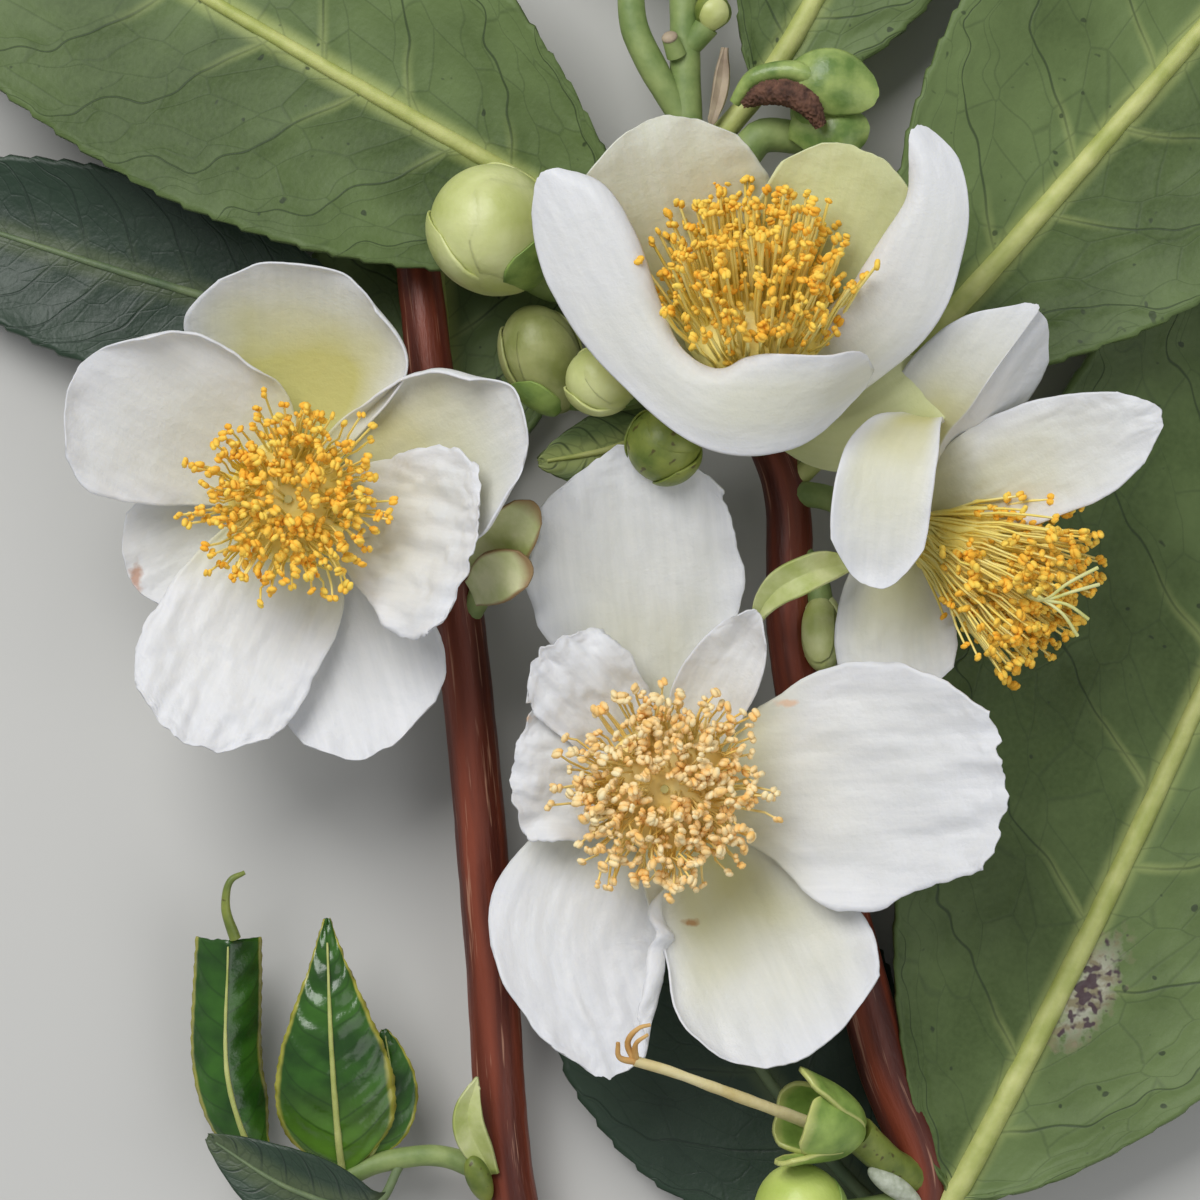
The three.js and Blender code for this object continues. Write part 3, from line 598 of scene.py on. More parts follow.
def young_leaf_material():
    """New leaf: thin dark glossy blade with a light toothed margin and a yellow-green sheen at its foot."""
    made, add = new_material("glossy_young_leaf")
    reach, across, mark, out, flat = surface_place(add)
    mottle = add(NOISE, flat, Scale=0.3, Detail=2.0)
    shade = add(RANGE, mottle, 0.35, 0.65)
    foot = add(RANGE, reach, 0.05, 0.4, 0.5, 0.0)
    arc, _ = veins(add, flat, across, mark)
    line = add(RANGE, arc, 0.02, 0.16, 0.5, 0.0)
    rim = add(RANGE, add("MULTIPLY_ADD", mottle, 0.16, out), 0.95, 1.04, **SMOOTH)
    layers = [(shade, "#37651b"), (foot, "#7ba53a"), (line, "#1c3a0e"), (rim, "#a8a444")]
    skin(add, "#1f4410", layers, add(NOISE, flat, Scale=2.0, Detail=2.0), 0.4, 0.08, Roughness=0.24,
         Specular_IOR_Level=0.6)
    return made


def rind_material(name, light, dark, rough=0.42, size=0.35, spots=0.0, glow=0.1, rim=None):
    """Soft green plant rind, as on buds, stalks and sepals: waxy, slightly mottled."""
    made, add = new_material(name)
    place = millimetres(add)
    mottle = add(NOISE, place, Scale=size, Detail=4.0)
    specks = add(RANGE, add(NOISE, place, Scale=1.1, Detail=1.0), 0.66, 0.72, 0.0, spots)
    layers = [(add(RANGE, mottle, 0.33, 0.67), light), (specks, "#4a3a1c")]
    if rim:
        reach, _, _, out, _ = surface_place(add)
        ragged = add("MULTIPLY_ADD", mottle, 0.12, add("MAXIMUM", out, reach))
        layers.append((add(RANGE, ragged, 0.92, 1.04, 0.0, 0.9), rim))
    skin(add, dark, layers, add(NOISE, place, Scale=2.5, Detail=3.0), 0.5, 0.08, Roughness=rough,
         Subsurface_Weight=glow, Subsurface_Radius=(0.8, 1.0, 0.4), Subsurface_Scale=0.8 * MM)
    return made


def bark_material():
    """First-year bark: smooth, glossy red-brown, with pale streaks that are part cork splits, part painted
    highlights.
    """
    made, add = new_material("red_brown_bark")
    along = add("ShaderNodeAttribute", attribute_name="along").outputs["Fac"]
    ring = add("ShaderNodeSeparateXYZ", add("ShaderNodeAttribute", attribute_name="round").outputs["Vector"])
    place = add("ShaderNodeCombineXYZ", ring.outputs["X"], along, ring.outputs["Y"])
    splits_and_highlights = add(NOISE, add("VECTOR_MULTIPLY", place, (4.5, 0.09, 4.5)), Scale=1.0, Detail=3.0, Roughness=0.6)
    broad = add(NOISE, add("VECTOR_MULTIPLY", place, (1.2, 0.04, 1.2)), Scale=1.0, Detail=2.0)
    grain = add(NOISE, add("VECTOR_MULTIPLY", place, (9.0, 0.9, 9.0)), Scale=1.0, Detail=3.0)
    # The pale streaks along the twig are partly cork splits and partly painted highlights.
    layers = [(add(RANGE, broad, 0.35, 0.65), "#843f2a"),
              (add(RANGE, splits_and_highlights, 0.6, 0.68, 0.0, 0.6), "#b98a70")]
    skin(add, "#4e1e12", layers, add("ADD", splits_and_highlights, grain), 0.45, 0.12, Roughness=0.42,
         Specular_IOR_Level=0.4)
    return made


def pollen_material(name, light, dark):
    """Ripe anther: dry dust in warm grains, a little uneven in colour from one anther to the next."""
    made, add = new_material(name)
    place = millimetres(add)
    shade = add(RANGE, add(NOISE, place, Scale=0.7, Detail=2.0), 0.36, 0.64)
    skin(add, dark, [(shade, light)], add(NOISE, place, Scale=9.0, Detail=2.0), 0.6, 0.08, Roughness=0.75)
    return made


STAINS = [((-38.6, 1.8, 12), (0.65, 1.7), "#b98a72"), ((7.6, -27, 16), (0.9, 0.4), "#a8763e"),
          ((-6.6, -9.8, 16), (1.2, 0.5), "#e2b077"), ((15.6, -8.6, 17), (1.3, 0.4), "#e6bfa0")]
BLEMISH = (40.6, -32.6, 6)  # the middle of the wound on the lower right leaf
BLEMISH_HALF = (2.7, 6.4)
BLEMISH_LEAN = math.radians(28)
PETAL = petal_material("white_petal_skin", "#e4e4e6", "#dbdcdf", "#c8c37f")
PETAL_TINTED = petal_material("yellow_green_petal_skin", "#dcdfae", "#d5d9a2", "#c4ca86")
PETAL_CREAM = petal_material("cream_petal_skin", "#e8e8da", "#e1e2cf", "#cccd92")
BARK = bark_material()
# These two undersides differ in which half of the blade is painted lighter, as painted light and shade, and
# in their specks.
LEAF_UNDER = leaf_material("leaf_underside", "#667947", "#425427", "#2b3a20", 0.55, 0.35, 0.8, 0.12)
LEAF_UNDER_OTHER_HALF_LIT = leaf_material("leaf_underside_other_half_lit", "#667947", "#425427", "#2b3a20", 0.55, 0.35, 0.7, -0.12)
LEAF_UPPER = leaf_material("leaf_upper_side", "#344636", "#233528", "#1e2d22", 0.42, 0.4, 0.0, halo=0.1)
LEAF_YOUNG = young_leaf_material()
RIB = rind_material("pale_leaf_rib", "#c6c980", "#a5ae5c", 0.55)
RIB_DULL = rind_material("dull_leaf_rib", "#74835c", "#55684a", 0.55)
SHOOT = rind_material("green_shoot_rind", "#98a868", "#6f8649", 0.55)
SEPAL = rind_material("green_sepal", "#9cb45e", "#64823a")
SEPAL_PALE = rind_material("pale_sepal", "#cfd39c", "#a8b362", 0.45)
BUD = rind_material("pale_bud_scale", "#d8dc9e", "#bcc376", 0.4, size=0.2)
# A darker copy of the pale bud scale's colours: painted shade for the second bud, which lies in shade.
BUD_SHADED = rind_material("shaded_bud_scale", "#a9ac72", "#858c4c", 0.45, size=0.3)
BUD_GREEN = rind_material("spotted_green_bud", "#8e9845", "#596b2a", 0.45, spots=0.8)
FRUIT = rind_material("apple_green_skin", "#d4e084", "#b8cb60", 0.38, size=0.15)
STYLE = rind_material("dry_style", "#e6d9a8", "#cdb97a", 0.6)
STIGMA = rind_material("stigma_lobe", "#dedd9c", "#c4c56e", 0.45, glow=0.2)
CURL = rind_material("withered_curl", "#dcb271", "#b98946", 0.65)
SCALE_DRY = rind_material("dry_brown_scale", "#b5a48c", "#7a6654", 0.75)
SEPAL_RIMMED = rind_material("yellow_rimmed_sepal", "#a3bd60", "#6d8c3c", 0.4, rim="#c9cc7c")
SEPAL_BROWNED = rind_material("brown_edged_sepal", "#d3d3a4", "#aab36c", 0.5, rim="#8d6a44")
SILKY = rind_material("silky_leaf_bud", "#d3d8c6", "#b0b79f", 0.6, size=1.6)
FLESHY = rind_material("fleshy_green_calyx", "#a2b468", "#66823f", 0.34, size=0.5)
FUZZ = rind_material("brown_fuzz", "#74503f", "#432c22", 0.85, size=1.2)
WOOD = rind_material("cut_green_wood", "#dcd8a8", "#c3bd84", 0.7, size=1.0)
FILAMENT = rind_material("yellow_filament", "#fff3a0", "#ffe56e", 0.5, glow=0.0)
FILAMENT_OLD = rind_material("old_filament", "#ffefa8", "#fbd874", 0.55, glow=0.0)
POLLEN = pollen_material("golden_pollen", "#ffdc5c", "#ffbc34")
POLLEN_OLD = pollen_material("peach_pollen", "#ffedba", "#ffcd78")

BLADE = blade_tree()
LIMB = limb_tree()
BOSS = boss_tree()


# Blades
def eased(values, count):
    """Values at even steps, joined by smooth curves and read at the given count of even steps."""
    values = [values[0], *values, values[-1]]
    read = []
    for place in np.linspace(0, len(values) - 3, count):
        k = min(int(place), len(values) - 4)
        t = place - k
        a, b, c, d = values[k:k + 4]
        read.append(b + 0.5 * t * (c - a + t * (2 * a - 5 * b + 4 * c - d + t * (3 * (b - c) + d - a))))
    return np.array(read)


def half_widths(values, count, free=False):
    """Half widths along a petal. Those of a free one open like a quarter circle at its start."""
    widths = eased(values, count)
    if free:
        before = np.clip(1 - np.linspace(0, 1, count) / ROUND_START, 0, 1)
        widths = np.maximum(widths * np.sqrt(1 - before ** 2), LEAST_HALF)
    return widths


BLADE_LOOK = dict(columns=44, rows=54, ease=1.0, bow=0.06, wave=0.2, folds=0.28, grain=0.5, roll_radius=1.2)
PETAL_LOOK = dict(bow=0.12, frill=0.035, ruffle=0.9, fold=0.8, crinkle=0.3, mark=0.25)
LEAF_LOOK = dict(ease=0.0, frill=0.03, ruffle=1.6, wave=0.055, crinkle=0.12, grain=0.3, bow=0.0, quilt=1.0)
SEPAL_LOOK = dict(columns=26, rows=24, bow=0.05, frill=0.03, crinkle=0.05)
LOBE_LOOK = dict(columns=26, rows=30, bow=0.1, frill=0.03, crinkle=0.06, ruffle=0.3, fold=0.15)


def blade(points, left, right, cup, across, coat, thick, **looks):
    """Grows a blade on a line from its half widths on both sides and its cup, the rise of its margins."""
    middle = np.maximum((left + right) / 2, 0.2)
    curve = 2 * np.broadcast_to(cup, middle.shape) / middle
    curve = np.where(np.abs(curve) < 1e-3, 1e-3, curve)
    line = guide(points, sizes=np.stack([left, right, curve], 1))
    return grown(line, BLADE, thick=thick, across=across, coat=coat, **{**BLADE_LOOK, **looks})


def petal(bloom, seed, tip, left, right=None, belly=2.2, bulge=0, cup=0.15, line=None, across=None, coat=None,
          free=False, **looks):
    """A petal from the hub to its tip, by the solids' rule or on its own line.

    A free one starts at the first place of its line, away from the hub.
    """
    facing = Vector(bloom["facing"]).normalized()
    start = seen(bloom["base"]) + facing * HUB_HEIGHT
    end = seen(tip)
    chord = end - start
    outwards = (chord - facing * chord.dot(facing)).normalized()
    if line:
        points = centripetal([start] * (not free) + all_seen(*line) + [end], PETAL_STEPS)
    else:
        middle = start.lerp(end, 0.5) - facing * 2 * belly + outwards * 2 * bulge
        points = bezier(start, middle, end, PETAL_STEPS)
    side = Vector(across) if across else facing.cross(outwards)
    left, right = (half_widths(values, PETAL_STEPS, free) for values in (left, right or left))
    return blade(points, left, right, cup, side, coat or PETAL, PETAL_THICK, seed=seed,
                 **{**PETAL_LOOK, **looks})


def leaf(seed, line, wide, coat, droop=0.14, stalk=0.12, rib=1.0, teeth=34, tooth=0.35, outline=None,
         rib_end=0.95, thick=LEAF_THICK, **looks):
    """A leaf along its line, with its rib. Its outline follows the solids' rule or its own shares."""
    points = centripetal(all_seen(*line), LEAF_STEPS)
    u = np.linspace(0, 1, LEAF_STEPS)
    s = np.clip((u - stalk) / (1 - stalk), 0, 1)
    full = np.abs(np.sin(np.pi * s ** BLADE_LEAN)) ** BLADE_FULLNESS
    share = eased(outline, LEAF_STEPS) if outline else full
    half = np.maximum(wide / 2 * share, 0.5 * rib)
    length = np.linalg.norm(np.diff(points, axis=0), axis=1).sum()
    chord = Vector(points[-1]) - Vector(points[0])
    grid = {"columns": int(min(wide * 1.5, 72)) + 10, "rows": int(min(length * 1.8, 205)) + 18}
    spacing = max(VEIN_SPACING * wide, LEAST_SPACING)
    made = blade(points, half, half, -droop, chord.cross(UP).normalized(), coat, thick, seed=seed,
                 teeth=teeth, tooth=tooth, mark=spacing, **{**LEAF_LOOK, **grid, **looks})
    girths = np.array([1.05, 0.95, 0.75, 0.5, 0.25]) * rib
    raised = points + np.array([0, 0, thick / 2])
    raised[:, 2] -= RIB_SUNK * np.interp(u, np.linspace(0, 1, 5), girths)
    green = RIB_DULL if coat is LEAF_UPPER else RIB
    raised = raised[:int(LEAF_STEPS * rib_end)]
    return [made, limb(raised, girths, green, count=70, sides=14, knob=0.06, lump=0.5, seed=seed)]


def sepal(foot, tip, radius, azimuth, reach, share, coat, seed, proud=0.2, flare=0.0, shape=bud_roundness,
          thick=SEPAL_THICK, **looks):
    """A scale that hugs a round body: azimuth turns it about the body's axis, reach is how far up it goes."""
    axis = (tip - foot).normalized()
    ahead = (UP - axis * UP.dot(axis)).normalized()
    radial = ahead * math.cos(azimuth) + axis.cross(ahead) * math.sin(azimuth)
    s = np.linspace(0, 1, SEPAL_STEPS)
    u = SEPAL_START + s * (reach - SEPAL_START)
    away = radius * shape(np.clip(u, 0.01, 0.99)) + proud + flare * s ** 3
    line = [foot + (tip - foot) * float(a) + radial * float(r) for a, r in zip(u, away)]
    half = radius * share * np.sqrt(np.clip(1 - (np.abs(s - 0.45) / 0.58) ** 2.6, 0.02, 1))
    half = np.minimum(half, 2.4 * away)
    return blade(line, half, half, half / away / 2, axis.cross(radial), coat, thick, seed=seed,
                 **{**SEPAL_LOOK, **looks})


def lobe(line, half, coat, seed, cup=0.12, thick=SEPAL_THICK, **looks):
    """A free sepal, scale or bract on its own line, facing up."""
    points = centripetal(all_seen(*line), 2 * GUIDE_STEPS)
    widths = eased(half, 2 * GUIDE_STEPS)
    side = UP.cross(Vector(points[-1]) - Vector(points[0])).normalized()
    return blade(points, widths, widths, cup, side, coat, thick, seed=seed, **{**LOBE_LOOK, **looks})


# Stamens
def boss(foot, axis, height, radius, count, seed, coat, dust, hollow=0.25, anther=1.0, girth=0.15, bend=2.2,
         dome=0.35, stray=0.12, low=0.75):
    """Filaments from a small hub to a dome of anthers. Each point on the hub holds the way to its own tip."""
    dice = np.random.default_rng(seed)
    axis = axis.normalized()
    ahead = axis.orthogonal().normalized()
    aside = axis.cross(ahead)
    feet, tips = [], []
    for i in range(count):
        share = math.sqrt(hollow ** 2 + (1 - hollow ** 2) * (i + 0.5) / count)
        angle = i * GOLDEN_ANGLE + dice.normal(0, 0.25)
        out = ahead * math.cos(angle) + aside * math.sin(angle)
        long = low + (1 - low) * dice.random() ** 0.6
        far = min(share * (1 + dice.normal(0, stray)), 1.12) * radius * (0.5 + 0.5 * long)
        high = height * (1 - dome * share ** 2) * long
        near = foot + out * BOSS_HUB * share
        feet.append(near)
        tips.append(foot + out * far + axis * high - near)
    return grown(guide(feet, tip=np.array(tips)), BOSS, girth=girth, bend=bend, anther=anther, seed=seed,
                 coat=coat, dust=dust)


# Twigs
TWIG = dict(sides=24, knob=0.1, lump=0.35)
FORK = (11.5, -87, 4.6)
LOWER_NODE = (27.1, -48.6, 6)
MIDDLE_NODE = (15.4, 9.2, 8)
UPPER_NODE = (8.3, 26.7, 8.5)


def twigs():
    right = all_seen(
        CUT_SEEN, (11.2, -96, 3.6), (11.3, -92, 4), FORK, (17.5, -76, 5), (24, -62, 5.6), LOWER_NODE,
        (23.5, -38, 7), (18.5, -18, 8), (15.8, -3, 8), MIDDLE_NODE, (11, 19, 8.2), UPPER_NODE, (7.6, 34, 8.5))
    girths = [3.4, 3.4, 3.3, 2.9, 2.5, 2.45, 2.5, 2.3, 2.1, 1.9, 1.9, 2.0, 1.7, 1.65, 1.4]
    left = all_seen(
        (11.3, -90, 4.4), (8.5, -82, 4.6), (4.5, -76, 4.8), (-3.5, -64, 5), (-7.4, -50, 5), (-9.2, -28, 6),
        (-11, -8, 7), (-13.6, 14, 7.5), (-15.2, 28, 6), (-17, 40, 3.2))
    left_girths = [2.5, 2.45, 2.4, 2.3, 2.25, 2.25, 2.2, 2.15, 2.1, 1.9, 1.3]
    cut = [right[0] - Vector((0, 0.05, 0)), right[0] + Vector((0, 2, 0))]
    parts = [limb(right, girths, BARK, count=170, seed=3, **TWIG),
             limb(left, left_girths, BARK, count=130, seed=5, **TWIG),
             limb(cut, [2.9, 2.9], WOOD, count=4, sides=24)]
    piece("red_brown_twigs", parts, "bark", "main_stem", "right_stem_foot", "left_stem_foot", "left_stem",
          "right_stem", "upper_stem")
    top = all_seen((7.6, 33.6, 8.5), (7.2, 41, 8.5), (7, 50, 8), (6.7, 58, 6.5))
    side = all_seen((7.3, 39.5, 8.6), (4.6, 44, 9), (2.8, 48, 9), (2.6, 54, 8.2))
    scar = all_seen((6.4, 45.4, 9.4), (5.8, 46.9, 10.2))
    parts = [limb(top, [1.4, 1.35, 1.25, 0.9], SHOOT, count=40, seed=7, **TWIG),
             limb(side, [1.1, 1.25, 1.2, 1.0], SHOOT, count=30, seed=8, **TWIG),
             limb(scar, [0.9, 0.7], SHOOT, count=6, sides=14, seed=9),
             lump(*all_seen((5.9, 46.6, 10.1), (5.7, 47.2, 10.6)), 0.72, SCALE_DRY, rings=8, sides=14)]
    piece("green_shoot_tips", parts, "green_stem", "top_shoot", "side_shoot")
    young = all_seen((-7.6, -48.6, 5.6), (-13, -46.4, 5.6), (-18, -46.8, 5.6), (-22.4, -48.8, 5.4))
    stalk = limb(young, [1.15, 0.95, 0.9, 0.8], SHOOT, count=30, seed=11, **TWIG)
    piece("young_shoot_stalk", [stalk], "green_stem", "young_shoot")


# Blooms. Each petal has its half widths at even steps, on the left and right of one who walks to its tip.
# Where only the left ones are given, both sides are the same. The style's lobes begin where it forks.
STYLE_FORK = (37, 0, 25.6)
BLOOMS = {
    "left_bloom": dict(base=(-25.4, 8, 12), facing=(-0.06, 0.04, 1), boss=dict(tip=(-26.2, 8.6, 25),
        radius=8.4, count=340, coat=FILAMENT, dust=POLLEN, slot="stamens", hollow=0.16, anther=0.88,
        low=0.66, dome=0.2, core=5.4, bend=3.6), stalk=[(-23.6, 6.4, 8.6), (-18, 4, 7.4), (-11.6, 2, 7)]),
    "top_bloom": dict(base=(12.9, 15.6, 15), facing=(-0.02, 0.78, 0.62), boss=dict(tip=(12.9, 32.8, 29.4),
        radius=9.2, count=540, coat=FILAMENT, dust=POLLEN, slot="stamens", hollow=0.05, anther=0.85,
        low=0.42, dome=0.25, girth=0.19, core=6.2), stalk=[(12.8, 13.4, 12), (12.8, 13.6, 10.4),
        (13.4, 15, 8.2)]),
    "lower_bloom": dict(base=(5.6, -15.4, 12), facing=(0, 0.02, 1), boss=dict(tip=(5.2, -16, 24.5),
        radius=8.8, count=420, coat=FILAMENT_OLD, dust=POLLEN_OLD, slot="old_stamens", hollow=0.2,
        anther=0.92, bend=5.0, dome=0.4, low=0.66, stray=0.16, core=5.7), stalk=[(7.4, -13.6, 8.8),
        (11, -11, 8), (16.6, -9.6, 8)]),
    "right_bloom": dict(base=(25, 6.4, 12.6), facing=(0.86, -0.36, 0.36), boss=dict(tip=(39.6, -1, 20.4),
        radius=8.0, count=420, coat=FILAMENT, dust=POLLEN, slot="stamens", hollow=0.05, anther=0.9,
        dome=0.15, low=0.3, girth=0.15, core=4.0), stalk=[(21, 7.8, 10.8), (18.6, 8.6, 9.4),
        (15.6, 9, 8.2)], lobes=[[(39, 1.4, 27), (41.5, 2.7, 26.6)], [(39.4, 0.7, 27), (41.6, 1.3, 26.4)],
        [(39, -0.4, 27), (40.7, -1.6, 26.4)], [(38.6, -1.2, 26.6), (39.8, -3, 26)]]),
}
PETALS = {
    "left_bloom": [
        dict(tip=(-24.6, 28.8, 21), left=[3, 5.4, 8.6, 10.2, 5.4], right=[3, 5, 9, 10.6, 5.4], belly=3.4,
             cup=0.24, tip_roll=1.6, right_roll=1.4, across=(-1, 0, -0.3), mark=1.5, ruffle=0.4, fold=0.3,
             frill=0.02, crinkle=0.12),
        dict(tip=(-44.2, 19, 20.6), left=[1.6, 3.4, 6.4, 7.8, 4.6], right=[3, 8, 9.6, 8.8, 3.8], belly=0.8,
             cup=0.16, right_roll=2.0, mark=0.3, crinkle=0.2, fold=0.6),
        dict(tip=(-5.8, 16.4, 25), left=[2, 4.8, 7.2, 7.2, 3.4], right=[2, 5.4, 9, 9.8, 4.6], belly=2.8,
             cup=0.28, tip_roll=1.6, left_roll=2.2, right_roll=1.2, mark=0.95, ruffle=0.4, fold=0.3,
             crinkle=0.15),
        dict(tip=(-9, 4.6, 25.5), left=[2, 4, 6, 7.2, 4.5], right=[2, 4, 6.6, 9.4, 5.5], belly=1.6, cup=0.1,
             frill=0.14, crinkle=0.9, fold=1.4, folds=0.45, mark=0.35),
        dict(tip=(-19.2, -13.6, 15.5), left=[2, 4.5, 8, 8.6, 4.4], right=[2, 4, 5.6, 6, 3.6], belly=1.4,
             cup=0.1, mark=0.15, fold=0.7),
        dict(tip=(-34.6, -13, 18), left=[2, 7.2, 7.6, 6.9, 4.2], right=[2, 5.6, 7.2, 7.3, 3.8], belly=1.4,
             cup=0.1, fold=1.1, folds=0.43, crinkle=0.9, frill=0.08, mark=0.1),
        dict(tip=(-39.6, 2, 13), left=[2, 4, 5, 5, 3], right=[2, 4, 5.2, 5.6, 4], belly=1, cup=0.1, mark=0.4),
    ],
    "top_bloom": [
        dict(tip=(4.4, 40.4, 24.5), left=[3, 6, 9, 10, 6.6], right=[3, 5, 7.6, 8.6, 5.6], belly=3.4,
             bulge=1, cup=0.16, across=(-1, -0.15, 0.3), coat=PETAL_CREAM, mark=0.7, crinkle=0.1, fold=0.3),
        dict(tip=(21.4, 38.3, 24), left=[3, 4.5, 6.4, 6.8, 5], right=[3, 5, 6.6, 7.4, 5.6], belly=3,
             cup=0.18, across=(-1, 0.1, -0.1), coat=PETAL_TINTED, mark=0.3, crinkle=0.1, fold=0.3),
        dict(tip=(25, 31.4, 25.4), left=[1.6, 2, 2.6, 2.8, 2], belly=2, bulge=2, cup=0.1, crinkle=0.6,
             frill=0.16, fold=1.2, folds=0.53, mark=0.2),
        dict(tip=(26, 39.9, 25.6), line=[(16.5, 17.2, 19.4), (21.2, 20.2, 22.8), (24.8, 23.6, 24.8),
             (27.4, 28.9, 26.2), (28.4, 32.8, 26.6), (27.9, 36.6, 26.4)],
             left=[2.2, 3.6, 4.6, 5.4, 5.4, 4.4, 3, 2], right=[2.2, 2.8, 2.9, 3, 3.1, 2.6, 2.1, 1.7],
             across=(-0.88, 0.4, 0.1), cup=-0.14, left_roll=2.4, roll_radius=-1.6, bow=0.1, mark=0.3,
             crinkle=0.1, fold=0.2, ruffle=0.5),
        dict(tip=(12.6, 18.6, 28), left=[3.4, 5.6, 6.6, 6.4, 4], right=[3.4, 5.4, 6.2, 5.8, 3.6], belly=4,
             bulge=3, cup=0.3, bow=0.0, mark=0.6, crinkle=0.1, fold=0.3, frill=0.02, ruffle=0.4),
        dict(tip=(-4.9, 36, 25.6), free=True, belly=0, line=[(22.8, 19.2, 26.4), (18.8, 17.2, 28.4),
             (14.6, 16.2, 29), (10, 16.3, 28.6), (5.6, 18.8, 27.6), (1.8, 23.3, 27), (-0.9, 28, 26.8),
             (-3.1, 32.6, 26.4)], left=[3.2, 3.6, 4.2, 4.3, 3.9, 3.5, 3.9, 4.2, 4.2, 3.4, 1.9],
             right=[3.1, 3.4, 4.3, 4.2, 3.1, 2.9, 3.8, 4.8, 5.2, 4.6, 2.1], across=(-0.5, -0.87, -0.3),
             cup=-0.14, right_roll=2.4, roll_radius=-1.6, bow=0.06, mark=-0.35, crinkle=0.12, fold=0.2,
             ruffle=0.4, frill=0.02, columns=46, rows=96),
        dict(tip=(29, 19.4, 19.6), line=[(19.5, 14.4, 16.4), (24.6, 16.4, 18.6)],
             left=[2, 3.4, 4.2, 4, 2.4], across=(-0.5, 0.86, 0.2), coat=PETAL_TINTED, cup=-0.05, mark=0.3,
             fold=0.2, crinkle=0.05),
    ],
    "lower_bloom": [
        dict(tip=(2.6, 14.6, 17), left=[3, 5.5, 9.6, 9.2, 4.6], right=[3, 4.5, 8, 7.6, 5.4], belly=1.8,
             cup=0.14, mark=0.4, fold=1.2, frill=0.12, crinkle=0.35),
        dict(tip=(13.2, -0.4, 19), left=[2, 2.8, 3.6, 3, 1.2], right=[2, 2.6, 3.3, 3, 1.2], belly=1,
             cup=0.26, mark=0.2),
        dict(tip=(-5.4, -2.8, 17.2), left=[2, 3, 4, 4.2, 3], right=[2, 3.4, 4.6, 4.6, 3.4], belly=-0.6,
             cup=-0.05, crinkle=0.6, frill=0.16, fold=2, folds=0.36, ruffle=1.4, mark=0.1),
        dict(tip=(-8.4, -14.2, 15.4), left=[2, 4, 5.2, 5.6, 4.4], right=[2, 3.4, 4.6, 5.8, 5.2], belly=-0.6,
             cup=-0.05, crinkle=0.55, frill=0.15, fold=1.8, folds=0.36, ruffle=1.4, mark=0.2),
        dict(tip=(1.2, -40.6, 16), line=[(0.8, -20, 11.6), (-2.1, -28, 12.6)],
             left=[2.4, 6.4, 11.4, 9.6, 5.6], right=[2.4, 4.8, 7.4, 5.2, 2], cup=0.06, left_roll=4.4,
             roll_radius=1.35, fold=1.0, folds=0.35, crinkle=0.7, frill=0.06, mark=0.1),
        dict(tip=(16.7, -38.8, 18), left=[3, 6.2, 9.2, 10.6, 8.2], right=[3, 5.6, 7, 8.2, 5], belly=2.4,
             cup=0.18, mark=0.85, right_roll=1.6, tip_roll=1.0, crinkle=0.2),
        dict(tip=(35.2, -15.2, 23), left=[2.4, 6.4, 10, 9.4, 4.6], right=[2.6, 5.4, 11, 8.6, 6.8], belly=2,
             bow=0.04, cup=0.08, fold=1.2, folds=0.35, mark=0.2, crinkle=0.45, frill=0.11),
    ],
    "right_bloom": [
        dict(tip=(36.8, 24.8, 23.6), line=[(28.4, 13.4, 17), (30.6, 16.2, 20), (33.2, 20, 22.6)],
             left=[1.2, 4, 5.8, 6, 4.6, 0.6], right=[0.3, 0.3, 0.3, 0.3, 0.3, 0.2], cup=0.0, bow=0.02,
             across=(-0.8, 0.6, 0.05), mark=0.9, crinkle=0.15, fold=0.5, frill=0.03, ruffle=0.4),
        dict(tip=(36.9, 24.3, 22.8), line=[(28.5, 13.2, 16.6), (30.8, 15.9, 19.4), (33.4, 19.7, 21.9)],
             left=[0.3, 0.3, 0.3, 0.3, 0.3, 0.2], right=[0.8, 2.4, 3.8, 4.6, 4.8, 3], cup=0.0,
             across=(-0.6, 0.4, 0.7), mark=0.1, crinkle=0.1, fold=0.6, ruffle=0.4),
        dict(tip=(47.2, 15.8, 25), left=[2.5, 4.8, 5.4, 4.2, 1.8], right=[3, 3.8, 4.6, 4.6, 2.2], belly=0.6,
             cup=0.1, across=(-0.3, 0.9, 0.0), mark=0.5, fold=0.9, crinkle=0.4),
        dict(tip=(22.9, 0.8, 24.6), line=[(27.8, 13.2, 15.8), (27, 15.2, 20), (24.4, 11.4, 24.4)],
             left=[1.2, 1.2, 2, 4, 4.3, 3.6], right=[1.2, 0.9, 1.4, 3.5, 3.9, 3.3], cup=-0.12,
             across=(-1, 0.1, -0.1), mark=1.1, crinkle=0.12, fold=0.15, frill=0.015),
        dict(tip=(25.4, -8.4, 15), left=[2, 4, 5, 5.2, 4], belly=1.4, cup=0.1, across=(-1, -0.1, -0.2),
             mark=0.7),
    ],
}


